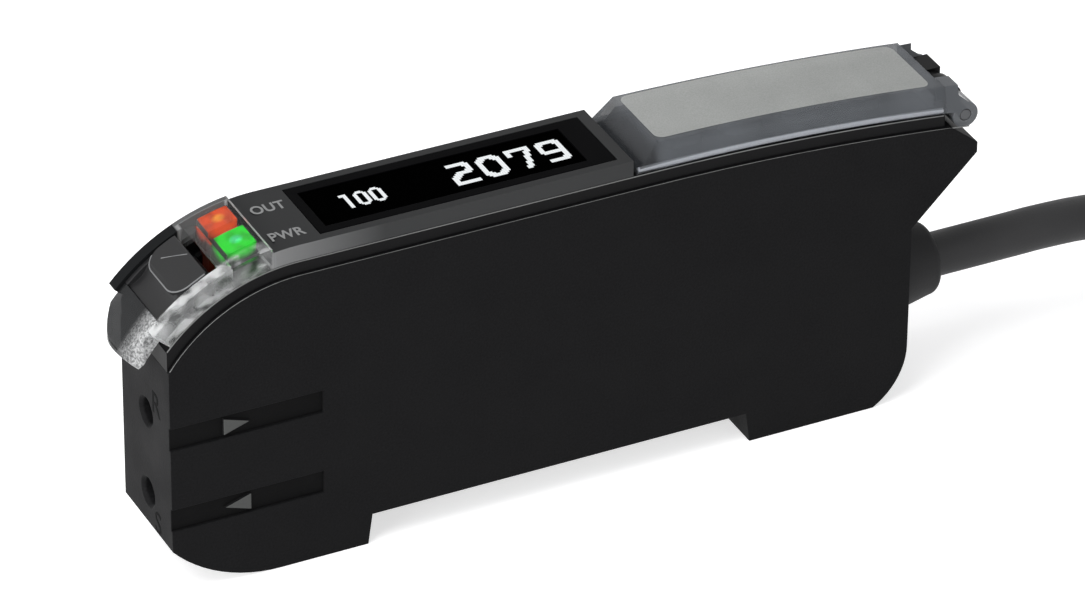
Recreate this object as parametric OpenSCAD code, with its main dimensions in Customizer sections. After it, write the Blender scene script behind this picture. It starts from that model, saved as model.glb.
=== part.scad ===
// Fibre optic sensor amplifier that clips on a 35 mm rail.
// X runs from the fibre end to the cable end, Y runs across the case and Z points up.
// The origin is the middle of the rail seat.

/* [Case] */
// Width of the case
case_w = 10; // [9.5:0.1:13]
// Thickness of the side walls
side_wall = 1.1; // [0.9:0.05:1.3]
// Thickness of the front wall, where the fibres enter
front_wall = 1.5; // [1:0.1:2]
// Thickness of the rear wall, where the cable leaves
rear_wall = 1.2; // [1:0.1:2]
// Thickness of the floor over the rail
floor_t = 1.3; // [1:0.1:1.6]
// Front face, ahead of the middle of the rail
front_len = 36; // [35:0.5:38]
// Rear wall, behind the middle of the rail
rear_len = 33.4; // [33:0.1:36]
// Reach of the rear overhang that carries the cover hinge
overhang = 6.1; // [6:0.1:7]
// Height at which the overhang starts
overhang_z = 14.6; // [14:0.1:16]
// Height of the overhang's rear face
tip_h = 1; // [0.6:0.1:1.4]
// Top edge of the side walls, above the rail seat
edge_z = 25.5; // [25:0.1:28]
// Radius of the nose
nose_r = 14.5; // [14:0.1:15]
// Centre of the nose, behind the front face
nose_back = 12; // [11.5:0.1:12.5]
// Place where the top edge starts to fall to the rear
crown_x = 8; // [6:0.5:10]
// Radius of the falling top edge
crown_r = 240; // [200:5:400]
// Radius of the front bottom corner
toe_r = 13; // [11:0.5:14]
// Radius of the rear bottom corner
heel_r = 6.5; // [5:0.5:8]

/* [Rail seat] */
// Width of the slot that takes the rail
slot_w = 35.4; // [35.2:0.1:36]
// Height of the feet beside the slot
foot_h = 2.9; // [2.5:0.1:4]
// Draft of each slot wall
slot_draft = 0.4; // [0:0.1:0.8]
// Reach of each hook under the rail's edge
hook_reach = 0.7; // [0.4:0.1:1]
// Width of each hook
hook_w = 3; // [2:0.5:6]
// Gap between the seat and the hooks, which takes the rail's edge
hook_gap = 1.1; // [1:0.1:1.4]

/* [Fibre ports] */
// Radius of the fibre bores
bore_r = 1.15; // [1:0.05:1.3]
// Depth of the fibre bores from the front face
bore_len = 14; // [12:0.5:15]
// Height of the receiver bore
upper_z = 12.6; // [12:0.1:13]
// Height of the emitter bore
lower_z = 4.6; // [4.2:0.1:5]
// Lead-in chamfer of the bores
lead_in = 0.3; // [0.1:0.05:0.4]
// Depth of the marking grooves in the near side
groove_depth = 0.25; // [0.1:0.05:0.4]
// Height of the marking grooves
groove_h = 2.15; // [1.5:0.05:3]
// Length of the marking grooves
groove_len = 13.9; // [10:0.1:16]

/* [Deck and window] */
// Rise of the deck over the side walls
deck_rise = 1.15; // [1:0.05:1.3]
// Rise of the window over the side walls
window_rise = 2.7; // [2.6:0.05:3]
// Rise of the window's nose over the side walls
window_nose_rise = 3.1; // [2.9:0.05:3.3]
// Step from the deck's edge to the side wall
deck_inset = 0.3; // [0.2:0.05:0.4]
// Width of the window's rails beside the lever
rail_w = 1.2; // [1:0.05:1.3]
// Rear end of the window
window_end = 6.6; // [6.2:0.1:6.8]
// Angle of the window's front end round the nose, between its rails
window_front_a = 113; // [112.5:0.5:114]
// Thickness of the window over the light guides
window_skin = 0.5; // [0.3:0.05:0.6]
// Length of the display glass
display_len = 25.6; // [24:0.1:26]
// Width of the display glass
display_w = 6.2; // [5.6:0.1:6.4]
// Rear end of the display glass
display_end = 4.4; // [4:0.1:4.6]

/* [Lever] */
// Thickness of the lever
lever_t = 1.35; // [1.2:0.05:1.5]
// Radius of the lever's pin
lever_pin_r = 0.5; // [0.4:0.05:0.6]
// Angle of the lever's upper end round the nose
lever_top_a = 116; // [115.5:0.5:117]
// Angle at which the clear lip starts
lip_a = 134.5; // [133:0.5:136]
// Angle of the lip's lower end
lip_end_a = 150; // [147:0.5:152]
// Radius of the lip's front edge seen from above
lip_crown_r = 4.83; // [4.7:0.01:6]
// Throw of the cam that drives the clamp
cam_throw = 1.2; // [1.1:0.05:1.3]

/* [Cover] */
// Rise of the cover over the side walls
cover_rise = 3.65; // [3.5:0.05:4]
// Thickness of the cover's roof
cover_roof = 0.9; // [0.7:0.05:1]
// Thickness of the cover's sides
cover_side = 0.8; // [0.6:0.05:0.9]
// Run of the cover's front slope
cover_slope = 2.1; // [1.5:0.1:3]
// Gap between the cover and the deck
cover_gap = 0.15; // [0.1:0.05:0.2]
// Inward lean of each cover side
cover_lean = 0.55; // [0.3:0.05:0.7]
// Radius of the cover's hinge lobes
lobe_r = 1.2; // [1.1:0.05:1.25]
// Radius of the hinge pin
hinge_pin_r = 0.5; // [0.4:0.05:0.6]

/* [Keys] */
// Place of the first key
key_first = 13; // [12.5:0.1:14]
// Spacing of the keys
key_pitch = 5.6; // [5:0.1:5.8]
// Length of a key cap
key_len = 3.6; // [3:0.1:4]
// Width of a key cap
key_w = 3.8; // [3:0.1:4.2]
// Rise of a key over the deck
key_rise = 0.8; // [0.5:0.05:1]
// Travel of a key
key_travel = 0.25; // [0.2:0.01:0.3]

/* [Cable] */
// Diameter of the cable
cable_d = 4; // [3.6:0.1:4]
// Height of the cable's exit
cable_z = 7.8; // [7.6:0.1:8.2]
// Length of the grommet behind the rear wall
grommet_len = 4.4; // [3:0.1:5]
// Radius of the grommet at the rear wall
grommet_r = 4; // [3.6:0.1:4.4]

/* [Hidden] */
$fn = 96;

// Clearances: sliding fits, running fits and glued seats
fit_gap = 0.15;
run_gap = 0.05;
seat_gap = 0.02;
far = 60;

half_w = case_w / 2;
deck_half = half_w - deck_inset;
glass_half = deck_half - run_gap;
cavity_half = half_w - side_wall;
skirt_half = cavity_half - fit_gap;
skirt_t = 0.8;
skirt_in = skirt_half - skirt_t;
skirt_h = 1.5;
cavity_front = -front_len + front_wall;

tip_x = rear_len + overhang;
tip_z = overhang_z + overhang + tip_h;
shoulder_run = 2.55;
shoulder_rise = 2.06;
nose_x = nose_back - front_len;
nose_z = edge_z - nose_r;

// Rear end of the deck, and the cover's hinge axis over the overhang
deck_end = tip_x - 3.2;
hinge_x = tip_x - 1.15;
hinge_z = tip_z + 2.8;
notch_x = deck_end + 0.1;
cover_end = tip_x - 1.7;
cover_front = window_end + 0.3;

// Boards, display and keys hang below the top edge
pcb_t = 0.8;
panel_z = edge_z - 4.3;
panel_half = cavity_half - 0.3;
panel_front = nose_x - 5.4;
panel_end = rear_len - rear_wall - 0.2;
ledge_w = 0.7;
ledge_h = 2;
main_back = cavity_half - ledge_w - 0.2;
main_front = main_back - pcb_t;
main_z = floor_t + 0.1;
main_top = panel_z - pcb_t - 0.5;
display_x = display_end - display_len;
display_t = 1.6;
mask_t = 0.15;
mask_front = display_x - 0.5;
mask_end = window_end - 1.15;
mask_half = glass_half - 0.9;
mask_z = edge_z + window_rise - mask_t - seat_gap;
display_z = mask_z - seat_gap - display_t;
ribbon_out = 0.8;
switch_h = 1.6;
plunger_h = 0.4;
switch_w = 3.4;

// Grommet and its hole in the rear wall
neck_r = 3;
grommet_end_r = 3.3;
flange_r = 3.7;
flange_t = 1;
cable_r = cable_d / 2;
grommet_end = rear_len + grommet_len;

// Fibre block and the parts behind it
block_top = upper_z + 4.4;
block_half = cavity_half - fit_gap;
diode_r = 1.5;
diode_x = -front_len + bore_len + 0.1;
diode_len = 3.4;
block_end = diode_x + diode_len + 0.5;
main_start = block_end + 1.2;
main_end = rear_len - rear_wall - flange_t - 0.6;
slider_t = 1.3;
slider_half = 2.4;
clamp_lift = 0.4;

// Lever pivot, and the cam that presses the clamp slider
pivot_a = 118;
pivot = [nose_x + (nose_r + 0.2) * cos(pivot_a), nose_z + (nose_r + 0.2) * sin(pivot_a)];
lever_in = nose_r + deck_rise + 0.3;
lever_out = lever_in + lever_t;
lever_half = glass_half - rail_w - run_gap;
pad_rise = 0.3;
ear_r = 1;
ear_t = 1;
boss_half = skirt_half - ear_t - 0.1;
cam_a = -110;
cam_r = 0.9;
cam = pivot + cam_throw * [cos(cam_a), sin(cam_a)];
slider_x = cam[0] - slider_t / 2 - 0.25;
slider_top = cam[1] - cam_r - 0.1;

// Light guides: their place and their widths across the nose
guide_front_a = 111.44;
guide_end_a = 100.73;
guide_front = nose_x + nose_r * cos(guide_front_a);
guide_end = nose_x + nose_r * cos(guide_end_a);
guide_step = guide_end + 0.3;
out_guide_y = [1.65, 4];
power_guide_y = [-2.2, 0.65];
lamp_h = 0.7;

// Route of the cable to its hank, which lies on the surface under the feet
surface_z = -foot_h;
cable_route = [[46, 0, 7.8], [49, 0, 7.8], [54, 0.6, 7.1], [59, 2.2, 5], [64, 4.7, 2]];
hank_lead = [[68, 7.2, 0.2], [73.5, 10.5, -0.3]];
hank_x = 85;
hank_run = 60.8;
hank_bend = 12;
hank_columns = 2;
hank_layers = 5;
hank_cross = 1.6;
hank_in = hank_bend - cable_r;
hank_out = hank_in + hank_columns * cable_d;
hank_top = surface_z + hank_layers * cable_d + hank_cross;
tie_x = hank_x + hank_run / 2;
tie_t = 0.5;
tie_w = 5;
lead_r = 0.55;

function on_nose(r, a) = [nose_x + r * cos(a), nose_z + r * sin(a)];
function crown_drop(x) = x < crown_x ? 0 : crown_r - sqrt(crown_r * crown_r - (x - crown_x) * (x - crown_x));
function key_x(i) = key_first + i * key_pitch;

// Extrudes an outline drawn in X and Z from y0 to y1
module slab(y0, y1) {
    translate([0, y1, 0])
        rotate([90, 0, 0])
            linear_extrude(y1 - y0)
                children();
}

// Cylinder along X
module rod_x(x0, x1, y, z, r) {
    translate([x0, y, z])
        rotate([0, 90, 0])
            cylinder(h = x1 - x0, r = r);
}

// Cylinder along Y
module rod_y(x, y0, y1, z, r) {
    translate([x, y1, z])
        rotate([90, 0, 0])
            cylinder(h = y1 - y0, r = r);
}

// Box between two corners
module box(low, high) {
    translate(low)
        cube(high - low);
}

// Everything below the top line of the side walls, grown outwards
module under_top(grow) {
    translate([nose_x, nose_z])
        circle(nose_r + grow, $fn = 180);
    translate([nose_x, -far])
        square([crown_x - nose_x, far + edge_z + grow]);
    translate([-far, -far])
        square([far + nose_x, far + nose_z]);
    intersection() {
        translate([crown_x, edge_z - crown_r])
            circle(crown_r + grow, $fn = 720);
        translate([crown_x, -far])
            square(2 * far);
    }
}

// Wedge of the plane round the nose's centre
module nose_sector(a0, a1) {
    polygon([[nose_x, nose_z], on_nose(far, a0), on_nose(far, (a0 + a1) / 2), on_nose(far, a1)]);
}

// What is left of a square corner outside its round
module corner_waste(x, z, r, side) {
    difference() {
        translate([side < 0 ? x - far : x, z - far])
            square(far);
        translate([x, z])
            circle(r, $fn = 180);
    }
}

// Rounded rectangle round the origin
module rounded_plate(l, w, r) {
    square([l - 2 * r, w], center = true);
    square([l, w - 2 * r], center = true);
    for (x = [-1, 1], y = [-1, 1])
        translate([x * (l / 2 - r), y * (w / 2 - r)])
            circle(r);
}

module case_outline() {
    difference() {
        intersection() {
            under_top(0);
            polygon([
                [-front_len, -foot_h], [-slot_w / 2 - slot_draft, -foot_h],
                [-slot_w / 2, 0], [slot_w / 2, 0],
                [slot_w / 2 + slot_draft, -foot_h], [rear_len, -foot_h],
                [rear_len, overhang_z], [tip_x, overhang_z + overhang], [tip_x, tip_z],
                [tip_x - shoulder_run, tip_z + shoulder_rise], [tip_x - shoulder_run, far],
                [-front_len, far]
            ]);
        }
        corner_waste(-front_len + 0.75 * toe_r, toe_r - foot_h, toe_r, -1);
        corner_waste(rear_len - heel_r, heel_r - 3.8, heel_r, 1);
    }
}

module cavity_outline() {
    inner_rear = rear_len - rear_wall;
    overhang_in = deck_end - 1;
    slope_z = overhang_z + rear_wall * (sqrt(2) - 1);
    polygon([
        [cavity_front, floor_t], [inner_rear, floor_t], [inner_rear, slope_z],
        [overhang_in, slope_z + overhang_in - inner_rear], [overhang_in, far], [cavity_front, far]
    ]);
}

module port_cut(z) {
    rod_x(-front_len - 1, cavity_front + 1, 0, z, bore_r);
    translate([-front_len - 0.01, 0, z])
        rotate([0, 90, 0])
            cylinder(h = lead_in, r1 = bore_r + lead_in, r2 = bore_r);
}

// Groove in the near side that marks a fibre's direction, with a raised arrow left standing in it
module port_groove(z, direction) {
    arrow_x = -front_len + 6;
    slab(-half_w - 1, -half_w + groove_depth)
        difference() {
            translate([-front_len - 1, z - groove_h / 2])
                square([groove_len + 1, groove_h]);
            polygon([
                [arrow_x - direction * 1.2, z - 0.8], [arrow_x + direction * 1.2, z],
                [arrow_x - direction * 1.2, z + 0.8]
            ]);
        }
}

module rail_hooks() {
    for (side = [-1, 1])
        slab(-hook_w / 2, hook_w / 2)
            polygon([
                [side * (slot_w / 2 + 1), -hook_gap], [side * (slot_w / 2 - hook_reach), -hook_gap],
                [side * (slot_w / 2 - hook_reach), -hook_gap - 0.3],
                [side * (slot_w / 2 + 1), -hook_gap - 1.4]
            ]);
}

// Ledges inside the side walls that carry the panel board
module board_ledges() {
    for (x = [nose_x, display_end - 0.4, panel_end - 4], side = [-1, 1])
        translate([x, side * (cavity_half - ledge_w / 2), panel_z - pcb_t - ledge_h / 2])
            cube([3, ledge_w + 0.2, ledge_h], center = true);
}

module case() {
    color([0.12, 0.12, 0.12]) {
        difference() {
            slab(-half_w, half_w)
                case_outline();
            slab(-cavity_half, cavity_half)
                cavity_outline();
            port_cut(upper_z);
            port_cut(lower_z);
            port_groove(upper_z, 1);
            port_groove(lower_z, -1);
            rod_x(rear_len - rear_wall - 1, rear_len + 1, 0, cable_z, neck_r);
        }
        rail_hooks();
        board_ledges();
    }
}

// Knuckles behind the deck that hold the cover's hinge pin, on a neck no higher than the deck
module hinge_block() {
    root_x = deck_end - 0.5;
    root_z = edge_z - crown_drop(root_x) + seat_gap;
    block_back = 1.4;
    block_out = 0.95;
    block_rise = 1.2;
    slab(-1.6, glass_half - 0.65)
        intersection() {
            under_top(deck_rise);
            translate([root_x, root_z])
                square([hinge_x - root_x, far]);
        }
    slab(-1.6, 0.6)
        translate([hinge_x, hinge_z])
            circle(1.3);
    slab(0.5, 1.7)
        translate([hinge_x, hinge_z])
            circle(block_out);
    slab(1.6, glass_half - 0.65)
        translate([hinge_x - block_back, root_z])
            square([block_back + block_out, hinge_z + block_rise - root_z]);
}

// Room for a light guide: its stem inside the case, and its head over the deck
module guide_cut(guide_y) {
    stem_y = min(guide_y[1], skirt_half - 0.2);
    box([guide_front - run_gap, guide_y[0] - run_gap, panel_z], [guide_end + run_gap, stem_y + run_gap, far]);
}

module key_outline(clear) {
    rounded_plate(key_len + 2 * clear, key_w + 2 * clear, 0.8 + clear);
}

module top_deck() {
    color([0.05, 0.05, 0.05])
        difference() {
            union() {
                slab(-deck_half, deck_half)
                    intersection() {
                        difference() {
                            under_top(deck_rise);
                            under_top(seat_gap);
                        }
                        translate([-front_len, nose_z])
                            square([front_len + deck_end, far]);
                    }
                difference() {
                    slab(-skirt_half, skirt_half)
                        intersection() {
                            difference() {
                                under_top(seat_gap + 0.1);
                                under_top(-skirt_h);
                            }
                            translate([cavity_front + fit_gap, nose_z])
                                square([deck_end - 1 - fit_gap - cavity_front - fit_gap, far]);
                        }
                    slab(-skirt_in, skirt_in)
                        under_top(seat_gap);
                }
                for (side = [-1, 1])
                    rod_y(pivot[0], side > 0 ? skirt_half - ear_t : -skirt_half,
                        side > 0 ? skirt_half : -skirt_half + ear_t, pivot[1], ear_r);
                hinge_block();
            }
            difference() {
                slab(-lever_half - 0.1, lever_half + 0.1)
                    difference() {
                        nose_sector(110.5, 127);
                        under_top(seat_gap);
                    }
                for (side = [-1, 1])
                    rod_y(pivot[0], side > 0 ? skirt_half - ear_t : -skirt_half,
                        side > 0 ? skirt_half : -skirt_half + ear_t, pivot[1], ear_r);
            }
            rod_y(pivot[0], -skirt_half - 0.05, skirt_half + 0.05, pivot[1], lever_pin_r);
            rod_y(hinge_x, -half_w, half_w, hinge_z, hinge_pin_r);
            box([display_x - fit_gap, -display_w / 2 - fit_gap, panel_z], [display_end + ribbon_out + fit_gap, display_w / 2 + fit_gap, far]);
            guide_cut(out_guide_y);
            guide_cut(power_guide_y);
            for (i = [0:3])
                translate([key_x(i), 0, panel_z])
                    linear_extrude(far)
                        key_outline(fit_gap);
        }
}

module window_outline() {
    intersection() {
        difference() {
            union() {
                intersection() {
                    under_top(window_rise);
                    translate([guide_step, -far])
                        square(2 * far);
                }
                intersection() {
                    under_top(window_nose_rise);
                    translate([-far, -far])
                        square([far + guide_step, 2 * far]);
                }
            }
            under_top(deck_rise + run_gap);
        }
        polygon([[nose_x, nose_z], [window_end, nose_z], [window_end, far], on_nose(far, 110), on_nose(far, 138)]);
    }
}

module display_window() {
    lever_sweep = norm(on_nose(lever_out + pad_rise, lever_top_a) - pivot) + 0.2;
    color([0.85, 0.88, 0.9, 0.4])
        difference() {
            slab(-glass_half, glass_half)
                window_outline();
            slab(-glass_half + rail_w, glass_half - rail_w) {
                nose_sector(window_front_a, 150);
                intersection() {
                    translate(pivot)
                        circle(lever_sweep);
                    translate([-far, -far])
                        square([far + guide_front - 0.2, 2 * far]);
                }
            }
            box([mask_front - run_gap, -mask_half - run_gap, 0], [mask_end + run_gap, mask_half + run_gap, far]);
            for (guide_y = [out_guide_y, power_guide_y])
                slab(guide_y[0] - run_gap, guide_y[1] + run_gap)
                    intersection() {
                        under_top(window_nose_rise - window_skin);
                        translate([guide_front - run_gap, 0])
                            square([guide_end - guide_front + 2 * run_gap, far]);
                    }
        }
}

// Printed overlay that frames the display
module display_mask() {
    color([0.03, 0.03, 0.03])
        difference() {
            box([mask_front, -mask_half, mask_z], [mask_end, mask_half, mask_z + mask_t]);
            box([display_x + 0.4, -display_w / 2 + 0.3, mask_z - 1], [display_end - 1.2, display_w / 2 - 0.3, mask_z + 1]);
        }
}

module display() {
    color([0.02, 0.02, 0.03]) {
        box([display_x, -display_w / 2, display_z], [display_end, display_w / 2, display_z + display_t * 0.5]);
        box([display_x, -display_w / 2, display_z + display_t * 0.5], [display_end - 1, display_w / 2, display_z + display_t]);
    }
}

// Ribbon that folds from the display's rear ledge to the panel board
module display_ribbon() {
    ribbon_t = 0.2;
    ribbon_x = display_end + ribbon_out;
    top_z = display_z + display_t * 0.5;
    color([0.75, 0.5, 0.15])
        slab(-display_w / 2 + 1, display_w / 2 - 1)
            difference() {
                translate([display_end - 0.8, panel_z])
                    square([ribbon_x - display_end + 0.8, top_z + ribbon_t - panel_z]);
                translate([display_end - 1, panel_z + ribbon_t])
                    square([ribbon_x - display_end + 1 - ribbon_t, top_z - panel_z - ribbon_t]);
            }
}

module display_holder() {
    color([0.15, 0.15, 0.15])
        difference() {
            box([display_x, -display_w / 2 + 0.3, panel_z], [display_end - 1, display_w / 2 - 0.3, display_z]);
            box([display_x + 1, -display_w / 2 + 1.1, panel_z - 1], [display_end - 2, display_w / 2 - 1.1, display_z + 1]);
        }
}

module panel_board() {
    color([0.1, 0.35, 0.2])
        box([panel_front, -panel_half, panel_z - pcb_t], [panel_end, panel_half, panel_z]);
}

module main_board() {
    color([0.1, 0.35, 0.2])
        box([main_start, main_front, main_z], [main_end, main_back, main_top]);
}

module board_header() {
    color([0.08, 0.08, 0.08])
        box([main_end - 24.6, main_front - 1.6, panel_z - pcb_t - 2.4], [main_end - 8.6, main_front, panel_z - pcb_t]);
}

module processor() {
    color([0.1, 0.1, 0.11])
        box([main_start + 11.8, main_front - 1, main_z + 5.6], [main_start + 18.8, main_front, main_z + 12.6]);
}

module output_transistor() {
    color([0.1, 0.1, 0.11])
        box([main_end - 10.6, main_front - 1.4, main_z + 9.6], [main_end - 7.2, main_front, main_z + 12.8]);
}

module filter_capacitor() {
    color([0.25, 0.25, 0.3])
        rod_x(main_end - 20.6, main_end - 13.6, main_front - 1.6, main_z + 3.6, 1.6);
}

module lamp(guide_y) {
    x = (guide_front + guide_end) / 2;
    y = (guide_y[0] + guide_y[1]) / 2;
    box([x - 0.8, y - 0.5, panel_z], [x + 0.8, y + 0.5, panel_z + lamp_h]);
}

module out_lamp() {
    color([1, 0.6, 0.2]) lamp(out_guide_y);
}

module power_lamp() {
    color([0.4, 0.9, 0.4]) lamp(power_guide_y);
}

// Block that carries a lamp's light up into the window, on a stem inside the case
module light_guide(guide_y) {
    stem_y = min(guide_y[1], skirt_half - 0.2);
    slab(guide_y[0], stem_y)
        intersection() {
            under_top(deck_rise + 2 * run_gap);
            translate([guide_front, panel_z + lamp_h + 0.1])
                square([guide_end - guide_front, far]);
        }
    slab(guide_y[0], guide_y[1])
        intersection() {
            difference() {
                under_top(window_nose_rise - window_skin - run_gap);
                under_top(deck_rise + run_gap);
            }
            translate([guide_front, 0])
                square([guide_end - guide_front, far]);
        }
}

module out_light_guide() {
    color([0.95, 0.6, 0.25]) light_guide(out_guide_y);
}

module power_light_guide() {
    color([0.45, 0.85, 0.4]) light_guide(power_guide_y);
}

module fibre_block() {
    slot_half = slider_half + fit_gap;
    color([0.2, 0.2, 0.22])
        difference() {
            box([cavity_front, -block_half, floor_t + 0.05], [block_end, block_half, block_top]);
            for (z = [upper_z, lower_z]) {
                rod_x(cavity_front - 1, diode_x, 0, z, bore_r);
                rod_x(diode_x - 0.1, block_end + 1, 0, z, diode_r + run_gap);
            }
            box([slider_x - run_gap, -slot_half, floor_t + 0.8], [slider_x + slider_t + run_gap, slot_half, far]);
        }
}

// Round diode in the block, with two flat legs bent to the main board
module diode(z) {
    leg_x = main_start + 1.4;
    leg_w = 0.4;
    rod_x(diode_x, diode_x + diode_len, 0, z, diode_r);
    for (side = [-1, 1])
        translate([0, 0, z + side * 0.65 - leg_w / 2])
            linear_extrude(leg_w)
                polygon([
                    [diode_x + diode_len - 0.1, -leg_w / 2], [leg_x + leg_w, -leg_w / 2], [leg_x + leg_w, main_front],
                    [leg_x, main_front], [leg_x, leg_w / 2], [diode_x + diode_len - 0.1, leg_w / 2]
                ]);
}

module emitter() {
    color([0.9, 0.9, 0.9]) diode(lower_z);
}

module receiver() {
    color([0.3, 0.3, 0.35]) diode(upper_z);
}

// Bent metal hood over the receiver's legs
module receiver_shield() {
    sheet = 0.25;
    low = [block_end, -2.2, upper_z - 2];
    high = [main_start + 2.4, main_front - 0.1, upper_z + 2];
    color([0.75, 0.75, 0.77])
        difference() {
            box(low, high);
            box(low + [-1, sheet, sheet], [high[0] + 1, high[1] + 1, high[2] - sheet]);
        }
}

// Plate that presses on both fibres, with a long hole round each
module clamp_slider() {
    color([0.8, 0.8, 0.78])
        difference() {
            box([slider_x, -slider_half, lower_z - bore_r - 0.9], [slider_x + slider_t, slider_half, slider_top]);
            for (z = [upper_z, lower_z]) {
                rod_x(slider_x - 1, slider_x + slider_t + 1, 0, z, bore_r + run_gap);
                rod_x(slider_x - 1, slider_x + slider_t + 1, 0, z - clamp_lift - run_gap, bore_r + run_gap);
                box([slider_x - 1, -bore_r - run_gap, z - clamp_lift - run_gap], [slider_x + slider_t + 1, bore_r + run_gap, z]);
            }
        }
}

module lever_ring(grow, a0, a1) {
    intersection() {
        difference() {
            translate([nose_x, nose_z])
                circle(lever_out + grow, $fn = 180);
            translate([nose_x, nose_z])
                circle(lever_in, $fn = 180);
        }
        nose_sector(a0, a1);
    }
}

// Raised thumb pad with round lower corners, standing on the lever
module thumb_pad() {
    pad_half = lever_half - 0.2;
    pad_len = 4.6;
    corner_r = 1.7;
    pad_a = lever_top_a + 3.4;
    intersection() {
        slab(-lever_half, lever_half)
            lever_ring(pad_rise, lever_top_a, lip_a);
        translate([nose_x, 0, nose_z])
            rotate([0, 90 - pad_a, 0])
                linear_extrude(far)
                    rounded_plate(pad_len, 2 * pad_half, corner_r);
    }
}

module lock_lever() {
    scoop_r = 2.9;
    scoop = on_nose(lever_out + scoop_r - 0.5, lip_a - 3.6);
    color([0.04, 0.04, 0.04])
        difference() {
            union() {
                difference() {
                    slab(-lever_half, lever_half)
                        lever_ring(0, lever_top_a, lip_a);
                    rod_y(scoop[0], -lever_half + 0.45, lever_half - 0.45, scoop[1], scoop_r);
                }
                thumb_pad();
                slab(-boss_half, boss_half) {
                    intersection() {
                        translate([nose_x, nose_z])
                            difference() {
                                circle(lever_in + 0.3);
                                circle(nose_r);
                            }
                        nose_sector(pivot_a, pivot_a + 6);
                    }
                    translate(pivot)
                        circle(ear_r);
                    translate(cam)
                        circle(cam_r);
                }
            }
            rod_y(pivot[0], -half_w, half_w, pivot[1], lever_pin_r + run_gap);
        }
}

module lever_lip() {
    crown_x0 = nose_x - lever_out * cos(180 - lip_end_a) + lip_crown_r + 0.1;
    color([0.9, 0.92, 0.92, 0.5])
        intersection() {
            slab(-lever_half, lever_half)
                lever_ring(0, lip_a, lip_end_a);
            translate([crown_x0, 0, 0])
                cylinder(h = far, r = lip_crown_r);
        }
}

module lever_pin() {
    color([0.75, 0.75, 0.75])
        rod_y(pivot[0], -skirt_half, skirt_half, pivot[1], lever_pin_r);
}

module cover_outline(inset_front, inset_roof, end_x) {
    base_z = edge_z + deck_rise + cover_gap;
    top_z = edge_z + cover_rise;
    front = cover_front + inset_front;
    intersection() {
        under_top(cover_rise - inset_roof);
        polygon([
            [front, edge_z - 5], [front, base_z], [front + cover_slope, top_z],
            [front + cover_slope, far], [end_x, far], [end_x, edge_z - 5]
        ]);
    }
}

// Arm and lobe that reach down to the hinge pin at one side of the cover
module cover_arm(y0, y1) {
    arm_z = hinge_z + 1.9;
    slab(y0, y1) {
        translate([hinge_x, hinge_z])
            circle(lobe_r);
        polygon([
            [deck_end + 0.25, arm_z], [cover_end, arm_z], [hinge_x + lobe_r * 0.8, hinge_z + 0.6],
            [hinge_x - lobe_r * 0.8, hinge_z + 0.6]
        ]);
    }
}

module protective_cover() {
    base_z = edge_z + deck_rise + cover_gap;
    lean_h = cover_rise - deck_rise - cover_gap;
    lean_a = atan(cover_lean / lean_h);
    fall_a = atan(crown_drop(cover_end) / (cover_end - cover_front));
    notch_near = -glass_half + 2.25;
    notch_far = glass_half - 0.5;
    color([0.7, 0.72, 0.72, 0.6])
        difference() {
            union() {
                difference() {
                    slab(-glass_half, glass_half)
                        difference() {
                            cover_outline(0, 0, cover_end);
                            under_top(deck_rise + cover_gap);
                        }
                    slab(-glass_half + cover_side, glass_half - cover_side)
                        cover_outline(cover_roof, cover_roof, notch_x - cover_side);
                }
                cover_arm(-glass_half, notch_near);
                cover_arm(notch_far, glass_half);
            }
            for (side = [-1, 1])
                translate([cover_front, side * glass_half, base_z])
                    rotate([0, fall_a, 0])
                        rotate([side * lean_a, 0, 0])
                            translate([-5, side > 0 ? 0 : -5, -0.2])
                                cube([far, 5, 10]);
            box([notch_x, notch_near, 0], [far, notch_far, far]);
            rod_y(hinge_x, -half_w, half_w, hinge_z, hinge_pin_r + run_gap);
        }
}

module cover_hinge_pin() {
    color([0.75, 0.75, 0.75])
        rod_y(hinge_x, -glass_half, glass_half, hinge_z, hinge_pin_r);
}

// Key with a cap through the deck, a flange under it and a stem over its switch
module key(i) {
    under_z = edge_z - crown_drop(key_x(i) + key_len / 2 + 0.6) - 0.1;
    cap_z = edge_z + deck_rise - crown_drop(key_x(i)) + key_rise;
    flange_t = 0.5;
    stem_z = panel_z + switch_h + plunger_h + key_travel + 0.05;
    translate([key_x(i), 0, under_z - flange_t])
        linear_extrude(cap_z - under_z + flange_t)
            key_outline(0);
    translate([key_x(i), 0, under_z - flange_t])
        linear_extrude(flange_t)
            square([key_len + 1, min(key_w + 1.4, 2 * skirt_in - 0.4)], center = true);
    translate([key_x(i), 0, stem_z])
        cylinder(h = under_z - stem_z, r = 0.9);
}

module set_key() {
    color([0.25, 0.25, 0.26]) key(0);
}

module plus_key() {
    color([0.25, 0.25, 0.26]) key(1);
}

module minus_key() {
    color([0.25, 0.25, 0.26]) key(2);
}

module mode_key() {
    color([0.25, 0.25, 0.26]) key(3);
}

// Push switch on the panel board under a key
module key_switch(i) {
    translate([key_x(i) - switch_w / 2, -switch_w / 2, panel_z])
        cube([switch_w, switch_w, switch_h]);
    translate([key_x(i), 0, panel_z + switch_h])
        cylinder(h = plunger_h, r = 0.8);
}

module set_switch() {
    color([0.7, 0.7, 0.72]) key_switch(0);
}

module plus_switch() {
    color([0.7, 0.7, 0.72]) key_switch(1);
}

module minus_switch() {
    color([0.7, 0.7, 0.72]) key_switch(2);
}

module mode_switch() {
    color([0.7, 0.7, 0.72]) key_switch(3);
}

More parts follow.
